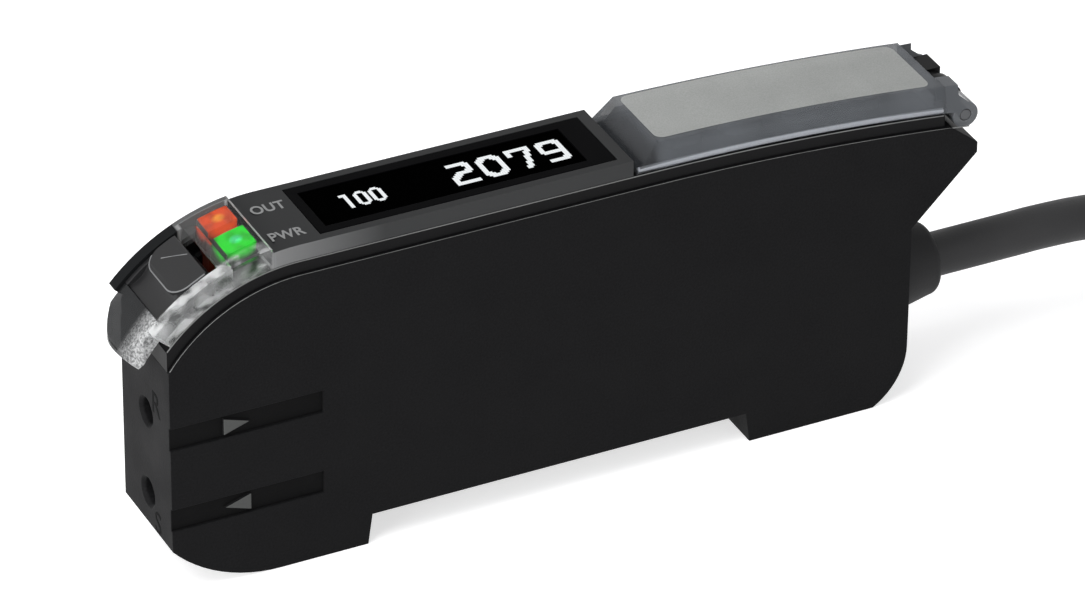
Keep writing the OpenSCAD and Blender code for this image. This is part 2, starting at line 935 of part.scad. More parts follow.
module cable_grommet() {
    wall_x = rear_len - rear_wall;
    round_r = 0.8;
    color([0.16, 0.16, 0.16])
        translate([0, 0, cable_z])
            rotate([0, 90, 0])
                rotate_extrude() {
                    polygon([
                        [0, wall_x - flange_t], [flange_r, wall_x - flange_t], [flange_r, wall_x - seat_gap],
                        [neck_r - seat_gap, wall_x - seat_gap], [neck_r - seat_gap, rear_len + seat_gap],
                        [grommet_r, rear_len + seat_gap], [grommet_end_r, grommet_end - round_r],
                        [grommet_end_r - round_r, grommet_end], [0, grommet_end]
                    ]);
                    translate([grommet_end_r - round_r, grommet_end - round_r])
                        intersection() {
                            circle(round_r);
                            square(round_r);
                        }
                }
}

// Three leads from the cable's inner end to the main board
module inner_leads() {
    start_x = rear_len - rear_wall - flange_t;
    end_x = main_end - 1.7;
    color([0.5, 0.3, 0.2])
        for (i = [-1:1]) {
            rod_x(end_x - i * 1.3 - lead_r, start_x, 0, cable_z + i * 1.4, lead_r);
            rod_y(end_x - i * 1.3, 0, main_front, cable_z + i * 1.4, lead_r);
        }
}

// Rings of a tube that stand across a route which runs mainly along X
function tube_ring(p, r, sides) = [
    for (k = [0:sides - 1]) [p[0], p[1] + r * cos(360 * k / sides), p[2] + r * sin(360 * k / sides)]
];

module tube(route, r, sides) {
    rings = len(route);
    points = [for (p = route) each tube_ring(p, r, sides)];
    walls = [
        for (i = [0:rings - 2], k = [0:sides - 1])
            let (n = (k + 1) % sides)
                [i * sides + k, (i + 1) * sides + k, (i + 1) * sides + n, i * sides + n]
    ];
    caps = [
        [for (k = [0:sides - 1]) k],
        [for (k = [sides - 1:-1:0]) (rings - 1) * sides + k]
    ];
    polyhedron(points, concat(walls, caps), convexity = 4);
}

module cable() {
    color([0.18, 0.18, 0.18])
        tube(concat([[grommet_end, 0, cable_z]], cable_route), cable_r, 10);
}

module hank_outline(r) {
    circle(r);
    translate([hank_run, 0])
        circle(r);
    translate([0, -r])
        square([hank_run, 2 * r]);
}

// Stored length of the cable, as the ring that its turns fill
module cable_coil() {
    color([0.18, 0.18, 0.18])
        difference() {
            union() {
                translate([hank_x, 0, surface_z])
                    linear_extrude(hank_top - surface_z)
                        difference() {
                            hank_outline(hank_out);
                            hank_outline(hank_in);
                        }
                tube(concat([cable_route[len(cable_route) - 1]], hank_lead), cable_r, 10);
            }
            box([tie_x - tie_w / 2 - 0.1, -far, surface_z - 1], [tie_x + tie_w / 2 + 0.1, 0, surface_z + tie_t + 0.05]);
        }
}

// Strap round one run of the hank
module coil_tie() {
    gap = 0.1;
    room = 0.3;
    bundle_w = hank_out - hank_in + 2 * gap + room;
    color([0.1, 0.1, 0.1])
        translate([tie_x - tie_w / 2, 0, 0])
            rotate([90, 0, 90])
                linear_extrude(tie_w)
                    difference() {
                        translate([-hank_out - gap - tie_t, surface_z])
                            square([bundle_w + 2 * tie_t, hank_top - surface_z + tie_t + gap]);
                        translate([-hank_out - gap, surface_z + tie_t])
                            square([bundle_w, hank_top - surface_z - tie_t + gap]);
                    }
}

// Bare leads at the cable's end, which lie inside the hank's far bend
module bare_leads() {
    color([0.5, 0.3, 0.2])
        for (i = [0:2])
            translate([hank_x + hank_run, 0, surface_z + lead_r])
                rotate([0, 0, -20])
                    rotate_extrude(angle = 110)
                        translate([hank_in - 1.2 - i * 1.3, 0])
                            circle(lead_r);
}

case();
top_deck();
display_window();
display_mask();
display();
display_ribbon();
display_holder();
panel_board();
main_board();
board_header();
processor();
output_transistor();
filter_capacitor();
out_lamp();
power_lamp();
out_light_guide();
power_light_guide();
fibre_block();
emitter();
receiver();
receiver_shield();
clamp_slider();
lock_lever();
lever_lip();
lever_pin();
protective_cover();
cover_hinge_pin();
set_key();
plus_key();
minus_key();
mode_key();
set_switch();
plus_switch();
minus_switch();
mode_switch();
cable_grommet();
inner_leads();
cable();
cable_coil();
coil_tie();
bare_leads();
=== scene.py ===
"""Looks of a fibre optic sensor amplifier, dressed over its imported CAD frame."""

from __future__ import annotations

import logging
import math
from dataclasses import dataclass
from enum import Enum
from typing import Callable, Sequence

import bmesh
import bpy
from mathutils import Matrix, Vector, geometry

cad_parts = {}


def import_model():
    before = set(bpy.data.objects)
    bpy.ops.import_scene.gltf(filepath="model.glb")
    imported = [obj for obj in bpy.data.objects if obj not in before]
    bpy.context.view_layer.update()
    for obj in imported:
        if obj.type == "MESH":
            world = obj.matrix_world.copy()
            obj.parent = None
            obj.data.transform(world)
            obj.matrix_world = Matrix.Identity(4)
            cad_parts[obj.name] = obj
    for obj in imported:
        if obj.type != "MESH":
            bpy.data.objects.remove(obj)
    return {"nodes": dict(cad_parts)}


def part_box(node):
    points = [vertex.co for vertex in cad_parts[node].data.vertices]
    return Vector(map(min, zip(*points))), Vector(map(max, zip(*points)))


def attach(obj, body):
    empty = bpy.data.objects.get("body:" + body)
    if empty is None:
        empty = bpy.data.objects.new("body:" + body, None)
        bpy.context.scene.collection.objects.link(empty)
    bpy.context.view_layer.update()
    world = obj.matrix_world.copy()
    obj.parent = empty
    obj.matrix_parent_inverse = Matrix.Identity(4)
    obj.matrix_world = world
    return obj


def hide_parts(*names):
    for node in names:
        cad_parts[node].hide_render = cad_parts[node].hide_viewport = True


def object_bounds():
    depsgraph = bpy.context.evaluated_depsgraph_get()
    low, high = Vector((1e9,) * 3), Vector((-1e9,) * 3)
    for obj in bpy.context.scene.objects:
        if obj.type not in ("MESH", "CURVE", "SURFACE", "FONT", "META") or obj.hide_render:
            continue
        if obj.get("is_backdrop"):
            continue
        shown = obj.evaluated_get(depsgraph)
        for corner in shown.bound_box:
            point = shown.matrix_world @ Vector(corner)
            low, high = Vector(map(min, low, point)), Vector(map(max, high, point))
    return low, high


LOG = logging.getLogger("sensor_amplifier")
MM = 0.001
PHOTO_WIDTH_PX = 1085
SIDES = (("near", -1), ("far", 1))

Colour = tuple[float, float, float]
Point = tuple[float, float, float]
Pair = tuple[float, float]
Sockets = dict[str | int, object]
Material = bpy.types.Material
Object = bpy.types.Object
Socket = bpy.types.NodeSocket


def srgb(red: int, green: int, blue: int) -> Colour:
    """Turns a colour of 0 to 255 per channel into linear light.

    Args:
        red: red channel.
        green: green channel.
        blue: blue channel.

    Returns:
        The three linear channels.
    """
    def channel(value: int) -> float:
        """Linear light of one channel."""
        part = value / 255
        return part / 12.92 if part <= 0.04045 else ((part + 0.055) / 1.055) ** 2.4

    return channel(red), channel(green), channel(blue)


def shade(colour: Colour, factor: float) -> Colour:
    """A colour made lighter or darker by a factor."""
    return colour[0] * factor, colour[1] * factor, colour[2] * factor


class ShaderGraph:
    """A node tree in the making, with short calls to add and join nodes."""

    def __init__(self, owner: Material | bpy.types.World, end: str) -> None:
        """Starts an empty tree.

        Args:
            owner: the material or world that the tree belongs to.
            end: Blender's name of its output node type.
        """
        self.owner = owner
        owner.use_nodes = True
        self.tree = owner.node_tree
        self.tree.nodes.clear()
        self.output = self.tree.nodes.new(end)

    @classmethod
    def of_material(cls, name: str) -> ShaderGraph:
        """Starts the tree of a new material."""
        return cls(bpy.data.materials.new(name), "ShaderNodeOutputMaterial")

    def add(self, kind: str, sockets: Sockets | None = None, **settings: object) -> bpy.types.Node:
        """Adds a node.

        Args:
            kind: Blender's name of the node type.
            sockets: input values by socket name or number; a socket object is joined instead.
            settings: properties of the node itself.

        Returns:
            The new node.
        """
        node = self.tree.nodes.new(kind)
        for name, value in settings.items():
            setattr(node, name, value)
        for name, value in (sockets or {}).items():
            if isinstance(value, Socket):
                self.tree.links.new(value, node.inputs[name])
            elif isinstance(value, tuple) and len(value) == 3 and node.inputs[name].type == "RGBA":
                node.inputs[name].default_value = (*value, 1.0)
            else:
                node.inputs[name].default_value = value
        return node

    def place(self) -> Socket:
        """Object coordinates, in metres in the part's own frame."""
        return self.add("ShaderNodeTexCoord").outputs["Object"]

    def axes(self) -> bpy.types.NodeOutputs:
        """Object coordinates as the outputs X, Y and Z."""
        return self.add("ShaderNodeSeparateXYZ", {"Vector": self.place()}).outputs

    def moved(self, centre: Vector, scale: Sequence[float] = (1.0, 1.0, 1.0)) -> Socket:
        """Object coordinates centred on a point and then scaled.

        Args:
            centre: the point that becomes zero, in metres.
            scale: factor per axis.

        Returns:
            The vector socket.
        """
        shift = [-c * s for c, s in zip(centre, scale)]
        mapping = self.add("ShaderNodeMapping", {
            "Vector": self.place(), "Location": shift, "Scale": list(scale)})
        return mapping.outputs["Vector"]

    def noise(self, cell: float, detail: float = 3.0, vector: Socket | None = None) -> Socket:
        """A noise of a cell size in metres, on the object's own coordinates or on others."""
        texture = self.add("ShaderNodeTexNoise", {
            "Vector": vector or self.place(), "Scale": 1.0 / cell, "Detail": detail})
        return texture.outputs["Fac"]

    def grid(self, vector: Socket, cell: float, gap: float, soft: float) -> Socket:
        """1 on the lines of a square grid and 0 in its cells, with a line's gap as a share of a cell."""
        return self.add("ShaderNodeTexBrick", {
            "Vector": vector, "Scale": 1 / cell, "Mortar Size": gap, "Mortar Smooth": soft,
            "Brick Width": 1.0, "Row Height": 1.0}, offset=0.0).outputs["Fac"]

    def spread(self, value: Socket, low: float, high: float, start: float = 0.3, end: float = 0.7) -> Socket:
        """Maps a value from start..end to low..high; the usual start and end suit a noise."""
        node = self.add("ShaderNodeMapRange", {
            "Value": value, "From Min": start, "From Max": end, "To Min": low, "To Max": high})
        return node.outputs["Result"]

    def vary(self, noise: Socket, middle: float, reach: float) -> Socket:
        """Maps a noise to a middle value, with the same reach below and above it."""
        return self.spread(noise, middle - reach, middle + reach)

    def rise(self, value: Socket, start: float, end: float) -> Socket:
        """0 up to a start and 1 from an end on."""
        return self.spread(value, 0.0, 1.0, start, end)

    def fall(self, value: Socket, start: float, end: float) -> Socket:
        """1 up to a start and 0 from an end on."""
        return self.spread(value, 1.0, 0.0, start, end)

    def between(self, share: Socket, low: float, high: float) -> Socket:
        """Maps a share of 0 to 1 to low..high."""
        return self.spread(share, low, high, 0.0, 1.0)

    def near(self, value: Socket, middle: float, reach: float) -> Socket:
        """1 where a value lies within reach of a middle, and 0 elsewhere."""
        return self.add("ShaderNodeMath", {0: value, 1: middle, 2: reach}, operation="COMPARE").outputs[0]

    def join(self, operation: str, first: Socket, *others: Socket) -> Socket:
        """Joins values one after the other with one math operation.

        Args:
            operation: Blender's name of the operation.
            first: first value.
            others: values that follow it.

        Returns:
            The result's socket.
        """
        for other in others:
            first = self.add("ShaderNodeMath", {0: first, 1: other}, operation=operation).outputs[0]
        return first

    def blend(self, share: Socket, first: Colour | Socket, second: Colour) -> Socket:
        """Mixes two linear colours by the share of the second one."""
        return self.add("ShaderNodeMix", {0: share, 6: first, 7: second}, data_type="RGBA").outputs[2]

    def mottled(self, noise: Socket, colour: Colour, reach: float) -> Socket:
        """A colour that a noise makes darker and lighter by the same share."""
        return self.blend(noise, shade(colour, 1 - reach), shade(colour, 1 + reach))

    def bump(self, height: Socket, depth: float) -> Socket:
        """Turns a height of 0 to 1 into a normal, with the real height of 1 in metres."""
        node = self.add("ShaderNodeBump", {"Height": height, "Distance": depth, "Strength": 1.0})
        return node.outputs["Normal"]

    def seen_directly(self) -> Socket:
        """1 for what the camera, gloss and glass see, and 0 for all other light."""
        rays = self.add("ShaderNodeLightPath").outputs
        return self.join(
            "MAXIMUM", rays["Is Camera Ray"], rays["Is Transmission Ray"], rays["Is Glossy Ray"])

    def close(self, shader: bpy.types.Node) -> Material | bpy.types.World:
        """Joins a shader to the output and gives the finished material or world back."""
        self.tree.links.new(shader.outputs[0], self.output.inputs["Surface"])
        return self.owner


@dataclass(frozen=True)
class Finish:
    """A finish, which makes one material of its own name; all its lengths are in millimetres."""

    name: str

    def build(self) -> Material:
        """Makes the material."""
        graph = ShaderGraph.of_material(self.name)
        return graph.close(graph.add("ShaderNodeBsdfPrincipled", self.sockets(graph)))

    def sockets(self, graph: ShaderGraph) -> Sockets:
        """Adds the finish's nodes to a tree.

        Args:
            graph: the material's tree.

        Returns:
            The shader's inputs by name.
        """
        raise NotImplementedError


@dataclass(frozen=True)
class MouldedPlastic(Finish):
    """Opaque moulded plastic with a spark-eroded grain and a faint mottle."""

    colour: Colour
    roughness: float = 0.5
    grain: float = 0.16
    depth: float = 0.012
    mottle: float = 0.12
    specular: float = 0.3
    patch: float = 5.0
    uneven: float = 0.06

    def sockets(self, graph: ShaderGraph) -> Sockets:
        """Adds the finish's nodes to a tree.

        Args:
            graph: the material's tree.

        Returns:
            The shader's inputs by name.
        """
        cloud = graph.noise(self.patch * MM, detail=2.0)
        grain = graph.noise(self.grain * MM, detail=2.0)
        return {
            "Base Color": graph.mottled(cloud, self.colour, self.mottle),
            "Roughness": graph.vary(cloud, self.roughness, self.uneven),
            "Specular IOR Level": self.specular,
            "Normal": graph.bump(grain, self.depth * MM)}


@dataclass(frozen=True)
class CasePlastic(Finish):
    """Grained case plastic; the side grooves get an even darker colour as painted shade, and the arrows in
    them a pale colour as painted highlight.
    """

    colour: Colour
    # Colour of the painted highlight on the arrows.
    arrow: Colour
    groove_y: float = -4.75
    side_y: float = -5.0
    skin: float = 0.03
    arrow_x: float = -30.0
    arrow_z: Pair = (12.6, 4.6)
    arrow_half: Pair = (1.25, 0.85)
    groove_painted_shade: float = 0.35
    roughness: float = 0.6
    uneven: float = 0.06
    patch: float = 5.0
    mottle: float = 0.1
    grain: float = 0.2
    speck: float = 0.25
    depth: float = 0.02

    def sockets(self, graph: ShaderGraph) -> Sockets:
        """Adds the finish's nodes to a tree.

        Args:
            graph: the material's tree.

        Returns:
            The shader's inputs by name.
        """
        axes = graph.axes()
        in_groove = graph.near(axes["Y"], self.groove_y * MM, self.skin * MM)
        # Painted highlight: the arrows on the side get a pale colour for their lit raised faces.
        on_side = graph.near(axes["Y"], self.side_y * MM, self.skin * MM)
        along = graph.near(axes["X"], self.arrow_x * MM, self.arrow_half[0] * MM)
        heights = [graph.near(axes["Z"], z * MM, self.arrow_half[1] * MM) for z in self.arrow_z]
        on_arrow_highlight = graph.join("MULTIPLY", on_side, along, graph.join("MAXIMUM", *heights))
        cloud = graph.noise(self.patch * MM, detail=2.0)
        grain = graph.noise(self.grain * MM)
        body = graph.mottled(cloud, self.colour, self.mottle)
        speck = graph.vary(grain, 1.0, self.speck)
        tinted = graph.add("ShaderNodeVectorMath", {0: body, "Scale": speck}, operation="SCALE").outputs[0]
        # Painted shade: the side grooves are darkened to an even colour.
        darker = graph.blend(in_groove, tinted, shade(self.colour, self.groove_painted_shade))
        return {
            "Base Color": graph.blend(on_arrow_highlight, darker, self.arrow),
            "Roughness": graph.vary(cloud, self.roughness, self.uneven),
            "Specular IOR Level": 0.06,
            "Normal": graph.bump(grain, self.depth * MM)}


@dataclass(frozen=True)
class WindowPlastic(Finish):
    """Window moulding: smoky over the display, clear on the nose, with a painted highlight in streaks on the
    nose's near rail and along the near wall.
    """

    smoke: Colour
    clear: Colour
    # Colour of the painted highlight on the near rail and the near wall.
    milk: Colour
    clear_x: float = -26.6
    smoke_x: float = -26.2
    rail_y: Pair = (-3.5, -2.9)
    rail_highlight: float = 0.55
    wall_y: Pair = (-4.64, -4.59)
    wall_highlight: float = 0.5
    # Painted highlight on the near wall: its share falls from front to rear over this stretch.
    pale_x: Pair = (-26.2, -16.2)
    pale: Pair = (0.3, 0.04)
    far_y: Pair = (3.1, 3.2)
    dark_x: Pair = (-31.4, -30.9)
    strip_y: Pair = (4.04, 4.14)
    strip_dark: float = 0.88
    dark_shade: float = 0.8
    solid: Pair = (0.02, 0.9)
    flow: float = 1.5
    flow_range: Pair = (0.38, 0.62)

    def sockets(self, graph: ShaderGraph) -> Sockets:
        """Adds the finish's nodes to a tree.

        Args:
            graph: the material's tree.

        Returns:
            The shader's inputs by name.
        """
        axes = graph.axes()
        flow = graph.noise(self.flow * MM, detail=1.5)
        share = graph.rise(axes["X"], self.clear_x * MM, self.smoke_x * MM)
        nose = graph.fall(axes["X"], self.clear_x * MM, self.smoke_x * MM)
        near = graph.fall(axes["Y"], self.rail_y[0] * MM, self.rail_y[1] * MM)
        wall = graph.fall(axes["Y"], self.wall_y[0] * MM, self.wall_y[1] * MM)
        # Painted highlight in pale streaks on the nose's near rail, at a lower share on the near wall.
        streaks = graph.spread(flow, 0.1, 0.9, *self.flow_range)
        streak = graph.join("MULTIPLY", nose, near, streaks, graph.between(wall, 1.0, self.wall_highlight))
        far = graph.rise(axes["Y"], self.far_y[0] * MM, self.far_y[1] * MM)
        ahead = graph.fall(axes["X"], self.dark_x[0] * MM, self.dark_x[1] * MM)
        strip = graph.spread(axes["Y"], 0.0, self.strip_dark, self.strip_y[0] * MM, self.strip_y[1] * MM)
        dark = graph.join("MAXIMUM", graph.join("MULTIPLY", far, ahead), graph.join("MULTIPLY", strip, nose))
        # Painted highlight on the near wall that fades from front to rear, joined with the rail's streaks.
        fade = graph.spread(axes["X"], *self.pale, self.pale_x[0] * MM, self.pale_x[1] * MM)
        pale = graph.join("MAXIMUM", streak, graph.join("MULTIPLY", wall, fade))
        railed = graph.blend(pale, graph.blend(share, self.clear, self.smoke), self.milk)
        smoky = graph.between(share, *self.solid)
        # Where the rail's painted highlight lies, the window is also less clear.
        highlight_solid = graph.between(streak, 0.0, self.rail_highlight)
        solid = graph.join("MAXIMUM", dark, smoky, highlight_solid)
        return {
            "Base Color": graph.blend(dark, railed, shade(self.smoke, self.dark_shade)),
            "Roughness": graph.between(share, 0.06, 0.28),
            "Transmission Weight": graph.fall(solid, 0.0, 1.0),
            "IOR": graph.between(share, 1.1, 1.3),
            "Specular IOR Level": graph.between(share, 0.2, 0.27),
            "Normal": graph.bump(flow, depth=0.006 * MM)}


@dataclass(frozen=True)
class HazyPlastic(Finish):
    """Thin translucent wall that dims what lies behind it.

    Its front can carry painted shade, its rear and far side painted shade with more cover, and its near side
    a painted highlight of pale speckled glints.
    """

    colour: Colour
    cover: float
    roughness: float = 0.25
    pale: Colour | None = None
    pale_y: Pair = (0.0, 0.0)
    dim_x: Pair | None = None
    dense_x: Pair = (0.0, 0.0)
    dense_y: Pair | None = None
    specular: float = 0.35
    patch: float = 3.0
    mottle: float = 0.15
    uneven: float = 0.05
    dim_shade: float = 0.3
    dense_and_shaded: float = 0.85
    dense_painted_shade: float = 0.55
    speckle: float = 0.22
    speckle_share: Pair = (0.25, 0.9)
    speckle_range: Pair = (0.38, 0.66)

    def sockets(self, graph: ShaderGraph) -> Sockets:
        """Adds the finish's nodes to a tree.

        Args:
            graph: the material's tree.

        Returns:
            The shader's inputs by name.
        """
        axes = graph.axes()
        flow = graph.noise(self.patch * MM, detail=2.0)
        colour = graph.mottled(flow, self.colour, self.mottle)
        cover = graph.vary(flow, self.cover, self.uneven)
        if self.dim_x:
            # Painted shade: the front end is darkened.
            ahead = graph.fall(axes["X"], self.dim_x[0] * MM, self.dim_x[1] * MM)
            colour = graph.blend(ahead, colour, shade(self.colour, self.dim_shade))
        if self.dense_y:
            # Painted shade towards the rear end and the far side, with more cover there too.
            rear = graph.spread(axes["X"], 0.0, self.dense_and_shaded, self.dense_x[0] * MM, self.dense_x[1] * MM)
            far = graph.spread(axes["Y"], 0.0, self.dense_and_shaded, self.dense_y[0] * MM, self.dense_y[1] * MM)
            dense_and_shaded = graph.join("MAXIMUM", rear, far)
            cover = graph.join("MAXIMUM", cover, dense_and_shaded)
            colour = graph.blend(dense_and_shaded, colour, shade(self.colour, self.dense_painted_shade))
        if self.pale:
            # Painted highlight: pale speckled glints on the near side.
            near = graph.fall(axes["Y"], self.pale_y[0] * MM, self.pale_y[1] * MM)
            dots = graph.noise(self.speckle * MM, detail=4.0)
            speckle = graph.spread(dots, *self.speckle_share, *self.speckle_range)
            colour = graph.blend(graph.join("MULTIPLY", near, speckle), colour, self.pale)
        return {
            "Base Color": colour,
            "Roughness": graph.vary(flow, self.roughness, self.uneven),
            "Specular IOR Level": self.specular,
            "Alpha": cover,
            "Normal": graph.bump(flow, depth=0.004 * MM)}


@dataclass(frozen=True)
class FrostedFilm(Finish):
    """Milky etched surface that dims what lies under it."""

    colour: Colour
    cover: float = 0.6
    roughness: float = 0.6
    etch: float = 0.12
    uneven: float = 0.1
    patchy: float = 0.06
    patch: float = 4.0
    mottle: float = 0.1

    def sockets(self, graph: ShaderGraph) -> Sockets:
        """Adds the finish's nodes to a tree.

        Args:
            graph: the material's tree.

        Returns:
            The shader's inputs by name.
        """
        etch = graph.noise(self.etch * MM)
        cloud = graph.noise(self.patch * MM, detail=2.0)
        return {
            "Base Color": graph.mottled(cloud, self.colour, self.mottle),
            "Roughness": graph.vary(etch, self.roughness, self.uneven),
            "Specular IOR Level": 0.3,
            "Alpha": graph.vary(etch, self.cover, self.patchy),
            "Normal": graph.bump(etch, depth=0.01 * MM)}


@dataclass(frozen=True)
class LightGuide(Finish):
    """Tinted guide that glows from the lamp behind it, around a centre in metres."""

    colour: Colour
    hot: Colour
    centre: Vector
    reach: float = 2.6
    glow: float = 1.15
    unlit: Colour = (0.01, 0.01, 0.01)
    body_shade: float = 0.12
    dark_glow: float = 0.02
    tinted_from: Pair = (0.1, 0.3)
    lit_from: Pair = (0.15, 0.4)
    hot_from: Pair = (0.72, 0.95)
    grain: float = 0.25
    patch: float = 1.1
    patch_glow: Pair = (0.6, 1.0)
    patch_range: Pair = (0.35, 0.55)

    def sockets(self, graph: ShaderGraph) -> Sockets:
        """Adds the finish's nodes to a tree.

        Args:
            graph: the material's tree.

        Returns:
            The shader's inputs by name.
        """
        around = graph.moved(self.centre, (1 / (self.reach * MM),) * 3)
        gradient = graph.add("ShaderNodeTexGradient", {"Vector": around}, gradient_type="SPHERICAL")
        ball = gradient.outputs["Fac"]
        grain = graph.noise(self.grain * MM, detail=2.0)
        tip = graph.rise(ball, *self.tinted_from)
        core = graph.rise(ball, *self.hot_from)
        power = graph.spread(ball, self.glow * self.dark_glow, self.glow, *self.lit_from)
        cloud = graph.noise(self.patch * MM, detail=1.0)
        patches = graph.spread(cloud, *self.patch_glow, *self.patch_range)
        return {
            "Base Color": graph.blend(tip, self.unlit, shade(self.colour, self.body_shade)),
            "Roughness": graph.vary(grain, 0.3, 0.05),
            "Specular IOR Level": 0.03,
            "Emission Color": graph.blend(core, self.colour, self.hot),
            "Emission Strength": graph.join("MULTIPLY", power, patches),
            "Normal": graph.bump(grain, depth=0.01 * MM)}


@dataclass(frozen=True)
class BareMetal(Finish):
    """Metal with rolling marks along X."""

    colour: Colour
    roughness: float = 0.3
    smoother: float = 0.08
    rougher: float = 0.1
    mark: float = 0.1
    mark_shade: float = 0.85
    stretch: float = 12.0

    def sockets(self, graph: ShaderGraph) -> Sockets:
        """Adds the finish's nodes to a tree.

        Args:
            graph: the material's tree.

        Returns:
            The shader's inputs by name.
        """
        lengthwise = graph.moved(Vector((0, 0, 0)), (1 / self.stretch, 1.0, 1.0))
        lines = graph.noise(self.mark * MM, vector=lengthwise)
        return {
            "Base Color": graph.blend(lines, shade(self.colour, self.mark_shade), self.colour),
            "Metallic": 1.0,
            "Roughness": graph.spread(lines, self.roughness - self.smoother, self.roughness + self.rougher),
            "Normal": graph.bump(lines, depth=0.006 * MM)}


@dataclass(frozen=True)
class CircuitBoard(Finish):
    """Solder mask over copper tracks."""

    mask: Colour
    track: Colour
    pitch: float = 3.2
    patch: float = 1.0
    roughness: Pair = (0.28, 0.4)

    def sockets(self, graph: ShaderGraph) -> Sockets:
        """Adds the finish's nodes to a tree.

        Args:
            graph: the material's tree.

        Returns:
            The shader's inputs by name.
        """
        bricks = graph.add("ShaderNodeTexBrick", {
            "Vector": graph.place(), "Scale": 1 / (self.pitch * MM), "Mortar Size": 0.09,
            "Mortar Smooth": 0.1, "Brick Width": 0.9, "Row Height": 0.3})
        line = bricks.outputs["Fac"]
        return {
            "Base Color": graph.blend(line, self.mask, self.track),
            "Roughness": graph.spread(graph.noise(self.patch * MM), *self.roughness),
            "Normal": graph.bump(line, depth=0.03 * MM)}


@dataclass(frozen=True)
class PixelGlass(Finish):
    """Dark display glass with its grid of unlit pixels."""

    colour: Colour
    pitch: float = 0.14
    cell_shade: float = 1.5
    patch: float = 4.0
    roughness: Pair = (0.3, 0.4)

    def sockets(self, graph: ShaderGraph) -> Sockets:
        """Adds the finish's nodes to a tree.

        Args:
            graph: the material's tree.

        Returns:
            The shader's inputs by name.
        """
        grid = graph.grid(graph.place(), self.pitch * MM, gap=0.12, soft=0.1)
        return {
            "Base Color": graph.blend(grid, shade(self.colour, self.cell_shade), self.colour),
            "Roughness": graph.spread(graph.noise(self.patch * MM), *self.roughness),
            "Specular IOR Level": 0.0}


@dataclass(frozen=True)
class LitPixels(Finish):
    """Lit pixels from a corner on, with a dark line between neighbours."""

    colour: Colour
    pitch: float
    corner: Vector
    strength: float = 0.95
    line_shade: float = 0.55
    unlit: Colour = (0.02, 0.02, 0.02)

    def sockets(self, graph: ShaderGraph) -> Sockets:
        """Adds the finish's nodes to a tree.

        Args:
            graph: the material's tree.

        Returns:
            The shader's inputs by name.
        """
        grid = graph.grid(graph.moved(self.corner * MM), self.pitch * MM, gap=0.05, soft=0.6)
        return {
            "Base Color": self.unlit,
            "Roughness": 0.3,
            "Emission Color": graph.blend(grid, self.colour, shade(self.colour, self.line_shade)),
            "Emission Strength": self.strength}


@dataclass(frozen=True)
class WovenStrap(Finish):
    """Hook strap with a fine weave."""

    colour: Colour
    roughness: Pair = (0.75, 0.95)
    thread: float = 0.45
    gap_shade: float = 0.7
    fuzz: float = 0.2

    def sockets(self, graph: ShaderGraph) -> Sockets:
        """Adds the finish's nodes to a tree.

        Args:
            graph: the material's tree.

        Returns:
            The shader's inputs by name.
        """
        weave = graph.add("ShaderNodeTexChecker", {"Vector": graph.place(), "Scale": 1 / (self.thread * MM)})
        fuzz = graph.noise(self.fuzz * MM, detail=4.0)
        return {
            "Base Color": graph.blend(weave.outputs["Fac"], shade(self.colour, self.gap_shade), self.colour),
            "Roughness": graph.spread(fuzz, *self.roughness),
            "Sheen Weight": 0.3,
            "Normal": graph.bump(fuzz, depth=0.08 * MM)}


class Tone(Enum):
    """Colours of the part, as they look under plain light; the members named for a highlight or a glint are
    painted light.
    """

    CASE = srgb(20, 20, 21)
    ARROW = srgb(84, 85, 84)
    DECK = srgb(14, 14, 15)
    EDGE = srgb(112, 113, 112)
    LEVER = srgb(28, 28, 29)
    PAD_EDGE = srgb(104, 105, 106)
    LIP = srgb(34, 35, 36)
    LIP_GLINT = srgb(212, 213, 213)
    FILM = srgb(4, 4, 5)
    GLASS = srgb(1, 1, 1)
    SMOKE = srgb(31, 32, 33)
    CLEAR = srgb(232, 233, 233)
    MILK = srgb(226, 227, 227)
    COVER = srgb(104, 108, 113)
    FROST = srgb(186, 188, 185)
    FOOT_HIGHLIGHT = srgb(190, 194, 201)
    WHITE = srgb(236, 240, 242)
    PRINT = srgb(128, 129, 129)
    ORANGE = srgb(214, 66, 0)
    ORANGE_HOT = srgb(255, 176, 30)
    GREEN = srgb(0, 212, 20)
    GREEN_HOT = srgb(96, 255, 190)
    CABLE = srgb(42, 42, 43)
    GROMMET = srgb(36, 36, 37)
    STRAP = srgb(28, 28, 30)
    SHEATH = srgb(70, 70, 72)
    BROWN = srgb(96, 58, 34)
    BLUE = srgb(40, 84, 160)
    BLACK = srgb(30, 30, 31)
    COPPER = srgb(214, 140, 96)
    STEEL = srgb(196, 197, 199)
    PIN = srgb(88, 89, 91)
    CAN = srgb(190, 192, 196)
    SWITCH = srgb(186, 188, 190)
    KEY = srgb(62, 64, 66)
    SLIDER = srgb(196, 196, 188)
    INNER = srgb(52, 53, 56)
    CHIP = srgb(30, 30, 32)
    LAMP = srgb(230, 226, 206)
    RIBBON = srgb(176, 120, 40)
    BOARD = srgb(18, 66, 40)
    TRACK = srgb(30, 96, 58)


def new_object(name: str, form: bpy.types.Mesh | bpy.types.Curve, material: Material) -> Object:
    """Links a mesh or a curve to the scene under one material.

    Args:
        name: name of the piece.
        form: its mesh or curve, already in place.
        material: its finish.

    Returns:
        The new object.
    """
    thing = bpy.data.objects.new(name, form)
    thing.data.materials.append(material)
    bpy.context.scene.collection.objects.link(thing)
    LOG.info("made %s", name)
    return thing


def mesh_of(form: bmesh.types.BMesh, name: str) -> bpy.types.Mesh:
    """Turns a bmesh into a mesh and frees it.

    Args:
        form: the finished bmesh.
        name: name of the mesh.

    Returns:
        The mesh.
    """
    mesh = bpy.data.meshes.new(name)
    form.to_mesh(mesh)
    form.free()
    return mesh


